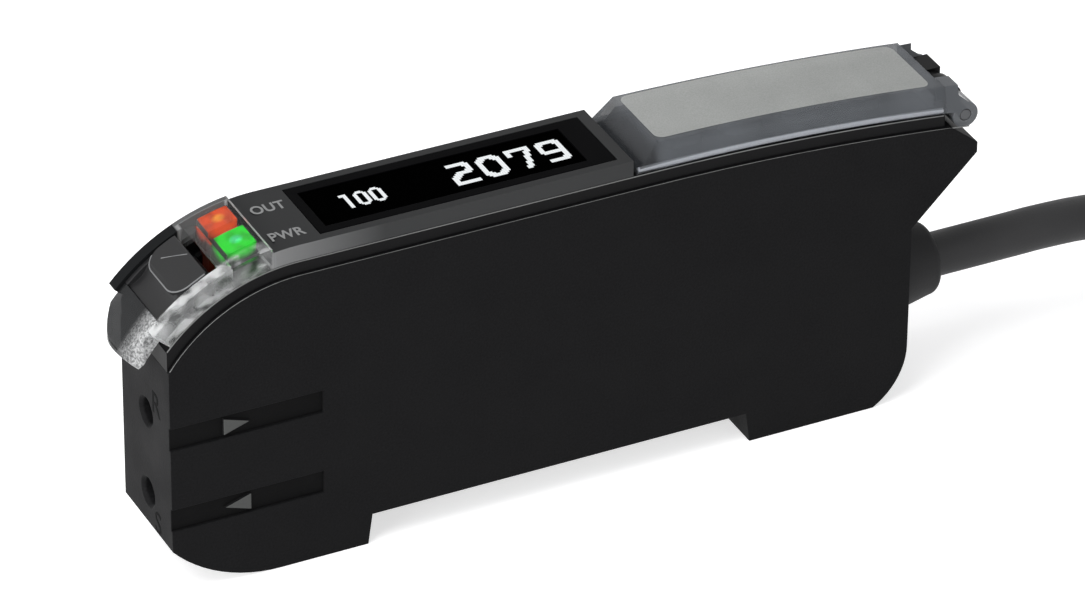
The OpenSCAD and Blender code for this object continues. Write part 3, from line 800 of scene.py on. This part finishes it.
def tube(name: str, points: Sequence[Vector], radius: float, material: Material, facets: int) -> Object:
    """A round tube along points.

    Args:
        name: name of the piece.
        points: its centre line, in metres.
        radius: its radius, in millimetres.
        material: its finish.
        facets: bevel resolution of the curve.

    Returns:
        The curve object.
    """
    curve = bpy.data.curves.new(name, "CURVE")
    curve.dimensions = "3D"
    curve.bevel_depth = radius * MM
    curve.bevel_resolution = facets
    curve.use_fill_caps = True
    spline = curve.splines.new("POLY")
    spline.points.add(len(points) - 1)
    for knot, place in zip(spline.points, points):
        knot.co = (*place, 1.0)
    spline.use_smooth = True
    return new_object(name, curve, material)


CAPITAL_SHARE = 0.7
LETTER_SPACING = 1.05
LETTER_HALF = 0.01


def letter_plate(name: str, text: str, height: float, place: Matrix, material: Material,
                 bold: float = 0.0) -> Object:
    """Letters as thin plates.

    Args:
        name: name of the piece.
        text: what the letters say.
        height: height of a capital, in millimetres.
        place: where the letters go, from their own plane to the part's frame.
        material: their finish.
        bold: extra half width of a stroke, as a share of the height.

    Returns:
        The new object.
    """
    letters = bpy.data.curves.new(name, "FONT")
    letters.body = text
    letters.size = height / CAPITAL_SHARE * MM
    letters.extrude = LETTER_HALF * MM
    letters.offset = bold * height * MM
    letters.space_character = LETTER_SPACING
    shape = bpy.data.objects.new("letters", letters)
    mesh = bpy.data.meshes.new_from_object(shape)
    mesh.transform(place)
    mesh.materials.clear()
    bpy.data.objects.remove(shape)
    return new_object(name, mesh, material)


@dataclass(frozen=True)
class ViewPoint:
    """The photograph's camera, in degrees, millimetres and pixels."""

    azimuth: float = 26.48
    elevation: float = 32.55
    roll: float = 0.52
    distance: float = 599.1
    focal_px: float = 7000.0
    right: float = -0.58
    up: float = -11.07
    sensor: float = 36.0
    near_clip: float = 10.0

    def build(self) -> None:
        """Makes the camera and sets it as the scene's own."""
        az, el, roll = (math.radians(a) for a in (self.azimuth, self.elevation, self.roll))
        back = Vector((-math.sin(az) * math.cos(el), -math.cos(az) * math.cos(el), math.sin(el)))
        level = Vector((math.cos(az), -math.sin(az), 0))
        rise = Vector((math.sin(az) * math.sin(el), math.cos(az) * math.sin(el), math.cos(el)))
        right = level * math.cos(roll) + rise * math.sin(roll)
        up = rise * math.cos(roll) - level * math.sin(roll)
        place = (back * self.distance - right * self.right - up * self.up) * MM
        lens = bpy.data.cameras.new("photo_camera")
        lens.sensor_width = self.sensor
        lens.sensor_fit = "HORIZONTAL"
        lens.lens = self.focal_px / PHOTO_WIDTH_PX * self.sensor
        lens.clip_start = self.near_clip * MM
        camera = bpy.data.objects.new("photo_camera", lens)
        camera.matrix_world = Matrix((
            (right.x, up.x, back.x, place.x), (right.y, up.y, back.y, place.y),
            (right.z, up.z, back.z, place.z), (0, 0, 0, 1)))
        bpy.context.scene.collection.objects.link(camera)
        bpy.context.scene.camera = camera


@dataclass(frozen=True)
class SoftLamp:
    """One square area lamp that looks at the part, in metres and watts."""

    name: str
    place: Point
    size: float
    power: float

    def build(self) -> None:
        """Makes the lamp."""
        light = bpy.data.lights.new(self.name, "AREA")
        light.size = self.size
        light.energy = self.power
        lamp = bpy.data.objects.new(self.name, light)
        place = Vector(self.place)
        turn = (-place).to_track_quat("-Z", "Y").to_matrix().to_4x4()
        lamp.matrix_world = Matrix.Translation(place) @ turn
        bpy.context.scene.collection.objects.link(lamp)


@dataclass
class Studio:
    """White floor, soft lamps and a white surround, in metres."""

    floor_z: float
    floor_size: float = 8.0
    floor_gap: float = 0.00002
    floor_shine: float = 0.62
    fibre: float = 0.002
    paper: tuple[Colour, Colour] = ((0.74, 0.74, 0.74), (0.78, 0.78, 0.78))
    white: Colour = (1.0, 1.0, 1.0)
    soft: Colour = (0.42, 0.42, 0.43)
    lamps: tuple[SoftLamp, ...] = (
        SoftLamp("key", (-0.30, -0.10, 0.60), size=0.4, power=2.6),
        SoftLamp("front", (-0.75, -0.20, 0.12), size=0.5, power=6.5),
        SoftLamp("side", (0.35, -0.75, 0.30), size=0.5, power=0.6))

    def build(self) -> None:
        """Makes floor, world and lamps."""
        bpy.context.scene.view_settings.view_transform = "Standard"
        self._floor()
        self._world()
        for lamp in self.lamps:
            lamp.build()

    def _floor(self) -> None:
        """Pale floor that is white to the camera and keeps a soft shadow."""
        graph = ShaderGraph.of_material("floor_paper")
        fibre = graph.noise(self.fibre)
        paper = graph.add("ShaderNodeBsdfDiffuse", {"Color": graph.blend(fibre, *self.paper)})
        glow = graph.between(graph.seen_directly(), 0.0, self.floor_shine)
        shine = graph.add("ShaderNodeEmission", {"Strength": glow})
        both = graph.add("ShaderNodeAddShader", {0: paper.outputs[0], 1: shine.outputs[0]})
        form = bmesh.new()
        bmesh.ops.create_grid(form, x_segments=4, y_segments=4, size=self.floor_size / 2)
        bmesh.ops.translate(form, verts=form.verts, vec=(0, 0, self.floor_z - self.floor_gap))
        floor = new_object("floor", mesh_of(form, "floor"), graph.close(both))
        floor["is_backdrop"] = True

    def _world(self) -> None:
        """White surround for what the camera, gloss and glass see, soft grey light for the rest."""
        graph = ShaderGraph(bpy.data.worlds.new("surround"), "ShaderNodeOutputWorld")
        white = graph.add("ShaderNodeBackground", {"Color": self.white})
        soft = graph.add("ShaderNodeBackground", {"Color": self.soft})
        mix = graph.add("ShaderNodeMixShader", {
            0: graph.seen_directly(), 1: soft.outputs[0], 2: white.outputs[0]})
        bpy.context.scene.world = graph.close(mix)


@dataclass
class CableRun:
    """Round cable with its stored hank and its three bare leads, in millimetres."""

    diameter: float = 4.0
    route: tuple[Point, ...] = (
        (37.8, 0, 7.8), (46, 0, 7.8), (49, 0, 7.8), (54, 0.6, 7.1), (59, 2.2, 5.0), (64, 4.7, 2.0),
        (68, 7.2, 0.1), (72, 9.7, -0.8), (76, 12.2, -0.9), (80.5, 14.7, -0.9), (85, 16, -0.9))
    route_points: int = 4
    hank_x: float = 85.0
    hank_run: float = 60.8
    bend_in: float = 12.0
    floor_z: float = -0.9
    climbs: int = 4
    cross_power: float = 2.6
    point_step: float = 4.0
    tail_y: float = 7.5
    lead_r: float = 0.55
    tip_share: float = 0.62
    lead_z: float = -2.35
    lead_arcs: tuple[tuple[Tone, float], ...] = ((Tone.BROWN, 8.8), (Tone.BLUE, 7.5), (Tone.BLACK, 6.2))
    lead_span: Pair = (90.0, -20.0)
    lead_steps: int = 24
    tip_steps: int = 5

    def path(self) -> list[Vector]:
        """Points of the cable from the case to its cut end, in millimetres."""
        return self._run() + self._hank() + self._tail()

    def _run(self) -> list[Vector]:
        """The stretch between the case and the hank, on one smooth curve.

        Returns:
            Its points, in millimetres.
        """
        knots = [Vector(p) for p in self.route]
        points: list[Vector] = []
        for before, here, there, after in zip([knots[0]] + knots, knots, knots[1:], knots[2:] + [knots[-1]]):
            # A sixth of the chord beside a knot makes the curve pass through all knots
            start_hand = here + (there - before) / 6
            end_hand = there - (after - here) / 6
            points += geometry.interpolate_bezier(here, start_hand, end_hand, there, self.route_points)[:-1]
        return points

    def _hank(self) -> list[Vector]:
        """Turns that climb on the outer column, cross over on top and come down on the inner one.

        Returns:
            Its points, in millimetres.
        """
        outer = self.bend_in + self.diameter
        top = self.floor_z + self.climbs * self.diameter
        points: list[Vector] = []
        for turn in range(self.climbs):
            points += self._turn(lambda s, t=turn: (outer, self.floor_z + (t + s) * self.diameter))
        points += self._turn(lambda s: (
            outer - self.diameter * s,
            top - self.diameter + self.diameter * s + self.diameter * (1 - s ** self.cross_power)))
        for turn in range(self.climbs):
            points += self._turn(lambda s, t=turn: (self.bend_in, top - (t + s) * self.diameter))
        return points

    def _turn(self, lane: Callable[[float], Pair]) -> list[Vector]:
        """One turn of the hank, from the start of its far run and clockwise seen from above.

        Args:
            lane: bend radius and height at each share of the turn.

        Returns:
            Its points, without the first one of the next turn.
        """
        length = 2 * self.hank_run + 2 * math.pi * lane(0.5)[0]
        count = round(length / self.point_step)
        bend = math.pi * lane(0.5)[0]
        points: list[Vector] = []
        for k in range(count):
            share = k / count
            r, z = lane(share)
            way = share * length
            if way < self.hank_run:
                x, y = way, r
            elif way < self.hank_run + bend:
                angle = math.pi / 2 - (way - self.hank_run) / bend * math.pi
                x, y = self.hank_run + r * math.cos(angle), r * math.sin(angle)
            elif way < 2 * self.hank_run + bend:
                x, y = 2 * self.hank_run + bend - way, -r
            else:
                angle = -math.pi / 2 - (way - 2 * self.hank_run - bend) / bend * math.pi
                x, y = r * math.cos(angle), r * math.sin(angle)
            points.append(Vector((self.hank_x + x, y, z)))
        return points

    def _tail(self) -> list[Vector]:
        """The cable's end, which leaves the inner column along the far run.

        Returns:
            Its points, in millimetres.
        """
        count = round(self.hank_run / self.point_step)
        points: list[Vector] = []
        for k in range(count + 1):
            share = k / count
            ease = share * share * (3 - 2 * share)
            y = self.bend_in + (self.tail_y - self.bend_in) * ease
            points.append(Vector((self.hank_x + share * self.hank_run, y, self.floor_z)))
        return points

    def build(self) -> None:
        points = [p * MM for p in self.path()]
        sheath = MouldedPlastic(
            "cable_sheath", Tone.CABLE.value, roughness=0.55, grain=0.22, depth=0.02, mottle=0.1).build()
        cable = tube("cable_lead", points, self.diameter / 2, sheath, facets=6)
        leads = self._leads()
        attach(cable, "housing")
        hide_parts("cable", "cable_coil")

    def _leads(self) -> list[Object]:
        """Three insulated leads with stripped copper ends inside the hank's far bend.

        Returns:
            The leads and their copper ends.
        """
        copper = BareMetal("lead_copper", Tone.COPPER.value, roughness=0.35).build()
        strip = self.lead_steps - self.tip_steps
        start, end = self.lead_span
        pieces: list[Object] = []
        for tone, r in self.lead_arcs:
            name = tone.name.lower()
            skin = MouldedPlastic(
                "lead_" + name, tone.value, roughness=0.45, grain=0.2, depth=0.01, mottle=0.08).build()
            points = []
            for k in range(self.lead_steps + 1):
                angle = math.radians(start + (end - start) * k / self.lead_steps)
                points.append(Vector((self.hank_x + self.hank_run + r * math.cos(angle),
                                      r * math.sin(angle), self.lead_z)) * MM)
            pieces.append(tube("lead_" + name, points[:strip + 1], self.lead_r, skin, facets=3))
            tip_r = self.lead_r * self.tip_share
            pieces.append(tube("lead_tip_" + name, points[strip:], tip_r, copper, facets=3))
        for piece in pieces:
            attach(piece, "housing")
        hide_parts("bare_leads")
        return pieces


GLYPHS: dict[str, tuple[str, ...]] = {
    "0": ("..######..", ".########.", "####..####", "###....###", *["##......##"] * 7, "###....###",
          "####..####", ".########.", "..######.."),
    "2": (".########.", ".#########", ".......###", "........##", "........##", ".......###", "...#######",
          "..#######.", ".####.....", "####......", "###.......", "##........", "##........", "##########",
          "##########"),
    "7": ("##########", "##########", "##......##", "##.....###", "##.....##.", ".......##.", "......###.",
          *["......##.."] * 3, ".....###..", ".....##...", ".....##...", "....###...", "....##...."),
    "9": (".########.", "##########", "###....###", *["##......##"] * 4, "##########", ".#########",
          *["........##"] * 3, ".......###", ".#########", ".########."),
    "small 0": ("..###..", ".#####.", *["##...##"] * 9, ".#####.", "..###.."),
    "small 1": (".####..", ".####..", *["...##.."] * 11),
}


@dataclass(frozen=True)
class DigitRow:
    """One row of lit digits on the display, in millimetres."""

    name: str
    glyphs: tuple[str, ...]
    x: float
    low: float
    high: float
    pitch: float
    width: float
    lift: float = 0.02
    line_fill: float = 0.98

    def build(self, top: float) -> None:
        """Makes the digits as thin plates, one for each run of lit pixels.

        Args:
            top: height of the display's face.
        """
        first = GLYPHS[self.glyphs[0]]
        cell_x = self.width / len(first[0])
        cell_y = (self.high - self.low) / len(first)
        form = bmesh.new()
        for place, glyph in enumerate(self.glyphs):
            left = self.x + place * self.pitch
            for row, line in enumerate(GLYPHS[glyph]):
                y = self.high - (row + 0.5) * cell_y
                for start, end in self._runs(line):
                    middle = Vector((left + (start + end) / 2 * cell_x, y, top + self.lift / 2)) * MM
                    size = Vector(((end - start) * cell_x, self.line_fill * cell_y, self.lift)) * MM
                    plate = Matrix.Translation(middle) @ Matrix.Diagonal((*size, 1))
                    bmesh.ops.create_cube(form, size=1, matrix=plate)
        glow = LitPixels(self.name, Tone.WHITE.value, cell_x, Vector((self.x, self.high, 0))).build()
        numbers = new_object(self.name, mesh_of(form, self.name), glow)
        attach(numbers, "housing")
        LOG.info("%s shows %s", self.name, self.glyphs)

    @staticmethod
    def _runs(line: str) -> list[tuple[int, int]]:
        """Finds the runs of lit pixels in a line of a glyph.

        Args:
            line: the line, with # for a lit pixel.

        Returns:
            Start and end of each run.
        """
        pairs = zip("." + line, line + ".")
        edges = [k for k, (before, here) in enumerate(pairs) if before != here]
        return list(zip(edges[::2], edges[1::2]))


@dataclass
class DisplayFace:
    """Lit numbers on the display and the two words printed beside the lamps, in millimetres."""

    rows: tuple[DigitRow, ...] = (
        DigitRow("display_value", ("2", "0", "7", "9"), x=-8.12, low=-1.64, high=1.68, pitch=2.8, width=2.2),
        DigitRow("display_limit", ("small 1", "small 0", "small 0"), x=-18.06, low=-1.0, high=1.2,
                 pitch=1.37, width=1.16))
    words: tuple[tuple[str, float, float], ...] = (("OUT", -25.5, 1.2), ("PWR", -25.8, -3.2))
    word_z: float = 28.21
    word_height: float = 1.2
    word_narrow: float = 0.82
    word_bold: float = 0.03

    def build(self) -> None:
        """Makes the numbers and the words."""
        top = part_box("display")[1][2] / MM
        for row in self.rows:
            row.build(top)
        ink = MouldedPlastic(
            "printed_white", Tone.PRINT.value, grain=0.1, depth=0.003, mottle=0.05).build()
        for text, x, y in self.words:
            self._word(text, x, y, ink)

    def _word(self, text: str, x: float, y: float, ink: Material) -> None:
        """Prints a word on the window.

        Args:
            text: the word.
            x: its left end.
            y: its base line.
            ink: its finish.
        """
        narrow = Matrix.Diagonal((self.word_narrow, 1, 1, 1))
        place = Matrix.Translation(Vector((x, y, self.word_z)) * MM) @ narrow
        word = letter_plate("word_" + text.lower(), text, self.word_height, place, ink, self.word_bold)
        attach(word, "housing")


@dataclass(frozen=True)
class TopLine:
    """The case's top line seen from the side: nose arc, straight and falling arc, in millimetres."""

    nose_x: float = -24.0
    nose_z: float = 11.0
    nose_r: float = 14.5
    edge_z: float = 25.5
    crown_x: float = 8.0
    crown_r: float = 240.0
    steps: int = 24

    def drop(self, x: float) -> float:
        """Fall of the line behind the crown."""
        return self.crown_r - math.sqrt(self.crown_r ** 2 - max(0.0, x - self.crown_x) ** 2)

    def points(self, rise: float, front_angle: float, rear_x: float) -> list[Pair]:
        """Points of the line at a height above it.

        Args:
            rise: height above the line.
            front_angle: angle on the nose where the points start, in degrees.
            rear_x: place where they end.

        Returns:
            Pairs of x and z, from front to rear.
        """
        line: list[Pair] = []
        for k in range(self.steps):
            angle = math.radians(front_angle + (90 - front_angle) * k / self.steps)
            r = self.nose_r + rise
            line.append((self.nose_x + r * math.cos(angle), self.nose_z + r * math.sin(angle)))
        line.append((self.nose_x, self.edge_z + rise))
        for k in range(self.steps + 1):
            x = self.crown_x + (rear_x - self.crown_x) * k / self.steps
            line.append((x, self.edge_z + rise - self.drop(x)))
        return line


@dataclass(frozen=True)
class RimEdge:
    """One edge along the top line: its place across, its height above the line and its two ends."""

    name: str
    slot: str
    y: float
    rise: float
    front_angle: float
    rear_x: float


@dataclass
class RimBeads:
    """Painted highlight lines along the deck's rim and the case's top edge, in millimetres and degrees."""

    line: TopLine
    bead_r: float = 0.05
    edges: tuple[RimEdge, ...] = (
        RimEdge("deck_edge_highlight", "deck_plastic", y=4.66, rise=1.13, front_angle=139.8, rear_x=36.2),
        RimEdge("case_edge_highlight", "case_plastic", y=4.93, rise=-0.05, front_angle=145.0, rear_x=38.6))

    def build(self) -> None:
        """Makes one bead per edge and side."""
        # Each bead's pale colour is a painted highlight along a rounded edge.
        bead_highlight = MouldedPlastic("rim_edge_highlight", Tone.EDGE.value, roughness=0.35, grain=0.3, depth=0.004,
                              mottle=0.35, specular=0.4).build()
        for edge in self.edges:
            line = self.line.points(edge.rise, edge.front_angle, edge.rear_x)
            for side, sign in SIDES:
                points = [Vector((x, sign * edge.y, z)) * MM for x, z in line]
                bead = tube(edge.name + "_" + side, points, self.bead_r, bead_highlight, facets=2)
                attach(bead, "housing")


@dataclass
class CoverPanel:
    """Frosted panel on the cover's roof and a painted highlight along the foot of its walls, in millimetres.
    """

    line: TopLine
    rise: float = 3.7
    front: float = 9.25
    rear: float = 35.4
    half: float = 3.7
    depth: float = 0.02
    corner: float = 0.8
    steps: int = 40
    foot_highlight_front: float = 7.1
    foot_highlight_rear: float = 36.2
    foot_highlight_rise: float = 1.52
    foot_highlight_y: float = 4.38
    foot_highlight_r: float = 0.24
    foot_highlight_steps: int = 32

    def build(self) -> None:
        """Makes the panel as one thin curved plate with round corners, and the feet."""
        form = bmesh.new()
        rows: list[list[bmesh.types.BMVert]] = []
        for k in range(self.steps + 1):
            share = (1 - math.cos(math.pi * k / self.steps)) / 2
            x = self.front + (self.rear - self.front) * share
            z = self.line.edge_z + self.rise - self.line.drop(x)
            half = self.half - self._round_off(min(x - self.front, self.rear - x))
            corners = ((-half, z), (half, z), (half, z - self.depth), (-half, z - self.depth))
            rows.append([form.verts.new(Vector((x, *corner)) * MM) for corner in corners])
        for row, step in zip(rows, rows[1:]):
            for k in range(4):
                form.faces.new((row[k - 1], step[k - 1], step[k], row[k]))
        form.faces.new(rows[0])
        form.faces.new(rows[-1])
        bmesh.ops.recalc_face_normals(form, faces=form.faces[:])
        frost = FrostedFilm("frosted_panel", Tone.FROST.value, cover=0.5).build()
        panel = new_object("cover_panel", mesh_of(form, "cover_panel"), frost)
        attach(panel, "cover")
        self._feet()

    def _feet(self) -> None:
        """Painted highlight on the rounded edges along the foot of both side walls, as beads."""
        # The beads' pale colour is a painted highlight.
        edge = FrostedFilm("cover_foot", Tone.FOOT_HIGHLIGHT.value, roughness=0.35).build()
        for side, sign in SIDES:
            points = []
            for k in range(self.foot_highlight_steps + 1):
                x = self.foot_highlight_front + (self.foot_highlight_rear - self.foot_highlight_front) * k / self.foot_highlight_steps
                z = self.line.edge_z + self.foot_highlight_rise - self.line.drop(x)
                points.append(Vector((x, sign * self.foot_highlight_y, z)) * MM)
            foot = tube("cover_foot_" + side, points, self.foot_highlight_r, edge, facets=3)
            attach(foot, "cover")

    def _round_off(self, inset: float) -> float:
        """Rounds the panel's corners.

        Args:
            inset: distance from the panel's end.

        Returns:
            How much narrower each half is there.
        """
        if inset >= self.corner:
            return 0.0
        return self.corner - math.sqrt(self.corner ** 2 - (self.corner - inset) ** 2)


@dataclass
class LeverLines:
    """Painted highlight lines on the lever's thumb pad, along its edge and along the mark cut in it, in
    millimetres and degrees.
    """

    line: TopLine
    radius: float = 17.57
    bead_r: float = 0.07
    pad_angle: float = 119.4
    pad_half: float = 3.2
    pad_low: float = 2.3
    corner: float = 1.7
    corner_steps: int = 12
    first_step: int = 4
    side_start: float = -0.9
    mark: tuple[Pair, ...] = ((122.7, 1.9), (116.6, 0.2))
    mark_steps: int = 8

    def build(self) -> None:
        """Makes the two lines."""
        # Both lines are pale beads that paint a highlight on the pad's edge and along the cut mark.
        pale = MouldedPlastic("pad_edge", Tone.PAD_EDGE.value, roughness=0.35, grain=0.3, depth=0.004,
                              mottle=0.3, specular=0.4).build()
        self._line("pad_edge", [self._on_pad(along, y) for along, y in self._outline()], pale)
        start, end = [self._on_nose(angle, y) for angle, y in self.mark]
        steps = range(self.mark_steps + 1)
        self._line("pad_mark", [start.lerp(end, k / self.mark_steps) for k in steps], pale)

    def _outline(self) -> list[Pair]:
        """The pad's lower outline from its far corner to its near side.

        Returns:
            Pairs of places along and across the lever.
        """
        turn = self.pad_low - self.corner
        middle = self.pad_half - self.corner
        points = []
        for k in range(self.first_step, self.corner_steps + 1):
            angle = math.pi / 2 * k / self.corner_steps
            points.append((turn + self.corner * math.sin(angle), middle + self.corner * math.cos(angle)))
        for k in range(self.corner_steps + 1):
            angle = math.pi / 2 * k / self.corner_steps
            points.append((turn + self.corner * math.cos(angle), -middle - self.corner * math.sin(angle)))
        return points + [(self.side_start, -self.pad_half)]

    def _on_pad(self, along: float, y: float) -> Vector:
        """Point of the pad's face at a distance below its middle."""
        return self._on_nose(self.pad_angle + math.degrees(math.asin(along / self.radius)), y)

    def _on_nose(self, angle: float, y: float) -> Vector:
        """Point of the pad's face.

        Args:
            angle: angle on the nose, in degrees.
            y: place across the lever.

        Returns:
            The point, in millimetres.
        """
        a = math.radians(angle)
        x = self.line.nose_x + self.radius * math.cos(a)
        return Vector((x, y, self.line.nose_z + self.radius * math.sin(a)))

    def _line(self, name: str, points: list[Vector], material: Material) -> None:
        """Adds one thin bead to the lever.

        Args:
            name: name of the piece.
            points: its centre line, in millimetres.
            material: its finish.
        """
        bead = tube(name, [p * MM for p in points], self.bead_r, material, facets=2)
        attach(bead, "lever")


@dataclass
class PortLetters:
    """Letters sunk into the front face beside the two fibre ports, in millimetres."""

    face_x: float = -36.0
    height: float = 2.1
    shadow: float = 0.3
    letters: tuple[tuple[str, float, float], ...] = (("R", -1.2, 13.5), ("S", -1.3, 1.6))

    def build(self) -> None:
        """Makes the letters as thin plates on the face."""
        sunk = MouldedPlastic("sunk_letter", shade(Tone.CASE.value, self.shadow), roughness=0.7, grain=0.2,
                              depth=0.01, mottle=0.1, specular=0.05).build()
        turn = Matrix(((0, 0, -1, 0), (-1, 0, 0, 0), (0, 1, 0, 0), (0, 0, 0, 1)))
        for text, y, z in self.letters:
            place = Matrix.Translation(Vector((self.face_x - LETTER_HALF, y, z)) * MM) @ turn
            letter = letter_plate("port_" + text.lower(), text, self.height, place, sunk)
            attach(letter, "housing")


SMALL_ROUNDING = 0.05
ROUNDINGS = {
    "case": 0.22, "top_deck": 0.15, "display_window": 0.12, "protective_cover": 0.15, "lock_lever": 0.12,
    "lever_lip": 0.12, "cable_grommet": 0.2, "coil_tie": 0.12, "set_key": 0.15, "plus_key": 0.15,
    "minus_key": 0.15, "mode_key": 0.06, "clamp_slider": 0.08, "fibre_block": 0.1}


@dataclass
class FrameDress:
    """Finishes and edge roundings of the CAD nodes, in millimetres and degrees."""

    nodes: dict[str, Object]
    weld_gap: float = 0.001
    flat_angle: float = 0.4
    sharp_angle: float = 28.0
    facets: int = 2

    def build(self) -> None:
        """Gives every node its finish and its rounding."""
        for finish, names in self._finishes():
            material = finish.build()
            for name in names.split():
                self.nodes[name].data.materials.clear()
                self.nodes[name].data.materials.append(material)
        for name, node in self.nodes.items():
            self._soften(node, ROUNDINGS.get(name, SMALL_ROUNDING))
            LOG.info("dressed %s", name)

    def _soften(self, node: Object, width: float) -> None:
        """Rounds a CAD node's sharp edges with modifiers; its mesh stays as it is.

        Args:
            node: the CAD node's object.
            width: width of the rounding.
        """
        for polygon in node.data.polygons:
            polygon.use_smooth = True
        weld = node.modifiers.new("weld", "WELD")
        weld.merge_threshold = self.weld_gap * MM
        flat = node.modifiers.new("flat", "DECIMATE")
        flat.decimate_type = "DISSOLVE"
        flat.angle_limit = math.radians(self.flat_angle)
        bevel = node.modifiers.new("edge", "BEVEL")
        bevel.width = width * MM
        bevel.segments = self.facets
        bevel.limit_method = "ANGLE"
        bevel.angle_limit = math.radians(self.sharp_angle)
        bevel.use_clamp_overlap = True
        normal = node.modifiers.new("normal", "WEIGHTED_NORMAL")
        normal.keep_sharp = True

    def _finishes(self) -> list[tuple[Finish, str]]:
        """Chooses the finish of each node.

        Returns:
            Each finish with the names of the nodes that have it.
        """
        return [
            # The case gets painted shade in its side grooves and a painted highlight on its arrows.
            (CasePlastic("case_plastic", Tone.CASE.value, Tone.ARROW.value), "case"),
            (MouldedPlastic("deck_plastic", Tone.DECK.value, roughness=0.4, grain=0.2, depth=0.006,
                            mottle=0.08, specular=0.08), "top_deck"),
            # The window gets a painted highlight on the nose's near rail and along the near wall.
            (WindowPlastic("clear_plastic", Tone.SMOKE.value, Tone.CLEAR.value, Tone.MILK.value),
             "display_window"),
            # The lip gets a painted highlight of speckled glints on its near side.
            (HazyPlastic("lip_plastic", Tone.LIP.value, cover=0.85, roughness=0.18, pale=Tone.LIP_GLINT.value,
                         pale_y=(-3.0, -0.8), specular=0.15), "lever_lip"),
            # The cover gets painted shade on its front end, its rear end and its far side.
            (HazyPlastic("smoked_plastic", Tone.COVER.value, cover=0.55, roughness=0.22, dim_x=(8.6, 9.4),
                         dense_x=(36.0, 36.6), dense_y=(3.7, 4.0)), "protective_cover"),
            (MouldedPlastic("mask_film", Tone.FILM.value, roughness=0.3, grain=0.1, depth=0.002, mottle=0.05,
                            specular=0.01), "display_mask"),
            (PixelGlass("display_glass", Tone.GLASS.value), "display"),
            (MouldedPlastic("ribbon_film", Tone.RIBBON.value, roughness=0.35, grain=0.3, depth=0.004),
             "display_ribbon"),
            (MouldedPlastic("inner_plastic", Tone.INNER.value), "display_holder fibre_block"),
            (CircuitBoard("circuit_board", Tone.BOARD.value, Tone.TRACK.value), "panel_board main_board"),
            (MouldedPlastic("chip_resin", Tone.CHIP.value, roughness=0.6, grain=0.08, depth=0.006),
             "board_header processor output_transistor"),
            (BareMetal("capacitor_can", Tone.CAN.value, roughness=0.25), "filter_capacitor"),
            (MouldedPlastic("lamp_resin", Tone.LAMP.value, roughness=0.3, grain=0.1, depth=0.002,
                            mottle=0.04), "out_lamp power_lamp emitter receiver"),
            (BareMetal("sheet_steel", Tone.STEEL.value, roughness=0.32), "receiver_shield"),
            (BareMetal("pin_steel", Tone.PIN.value, roughness=0.4), "lever_pin cover_hinge_pin"),
            (MouldedPlastic("slider_plastic", Tone.SLIDER.value, roughness=0.4), "clamp_slider"),
            (MouldedPlastic("lever_plastic", Tone.LEVER.value, roughness=0.4, grain=0.18, depth=0.006,
                            mottle=0.08, specular=0.25), "lock_lever"),
            (MouldedPlastic("key_plastic", Tone.KEY.value, roughness=0.45, depth=0.008),
             "set_key plus_key minus_key mode_key"),
            (BareMetal("switch_steel", Tone.SWITCH.value),
             "set_switch plus_switch minus_switch mode_switch"),
            (MouldedPlastic("grommet_rubber", Tone.GROMMET.value, roughness=0.65, grain=0.2, depth=0.02,
                            mottle=0.1, specular=0.2), "cable_grommet"),
            (WovenStrap("tie_strap", Tone.STRAP.value), "coil_tie"),
            (MouldedPlastic("lead_sheath", Tone.SHEATH.value), "inner_leads"),
            (self._guide("out_light_guide", "orange_guide", Tone.ORANGE, Tone.ORANGE_HOT),
             "out_light_guide"),
            (self._guide("power_light_guide", "green_guide", Tone.GREEN, Tone.GREEN_HOT),
             "power_light_guide")]

    @staticmethod
    def _guide(node: str, name: str, colour: Tone, hot: Tone) -> Finish:
        """Glow of one light guide, centred on its top.

        Args:
            node: the guide's CAD node.
            name: name of the material.
            colour: its body colour.
            hot: its colour over the lamp.

        Returns:
            The finish.
        """
        low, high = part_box(node)
        middle = Vector(((low[0] + high[0]) / 2, (low[1] + high[1]) / 2, high[2]))
        return LightGuide(name, colour.value, hot.value, middle)


def main() -> None:
    """Builds the whole scene in order."""
    logging.basicConfig(level=logging.INFO, format="%(name)s: %(message)s")
    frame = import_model()
    cad_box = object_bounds()
    ViewPoint().build()
    CableRun().build()
    FrameDress(frame["nodes"]).build()
    DisplayFace().build()
    line = TopLine()
    RimBeads(line).build()
    CoverPanel(line).build()
    LeverLines(line).build()
    PortLetters().build()
    Studio(cad_box[0][2]).build()
    LOG.info("sizes written")


if __name__ == "__main__":
    main()
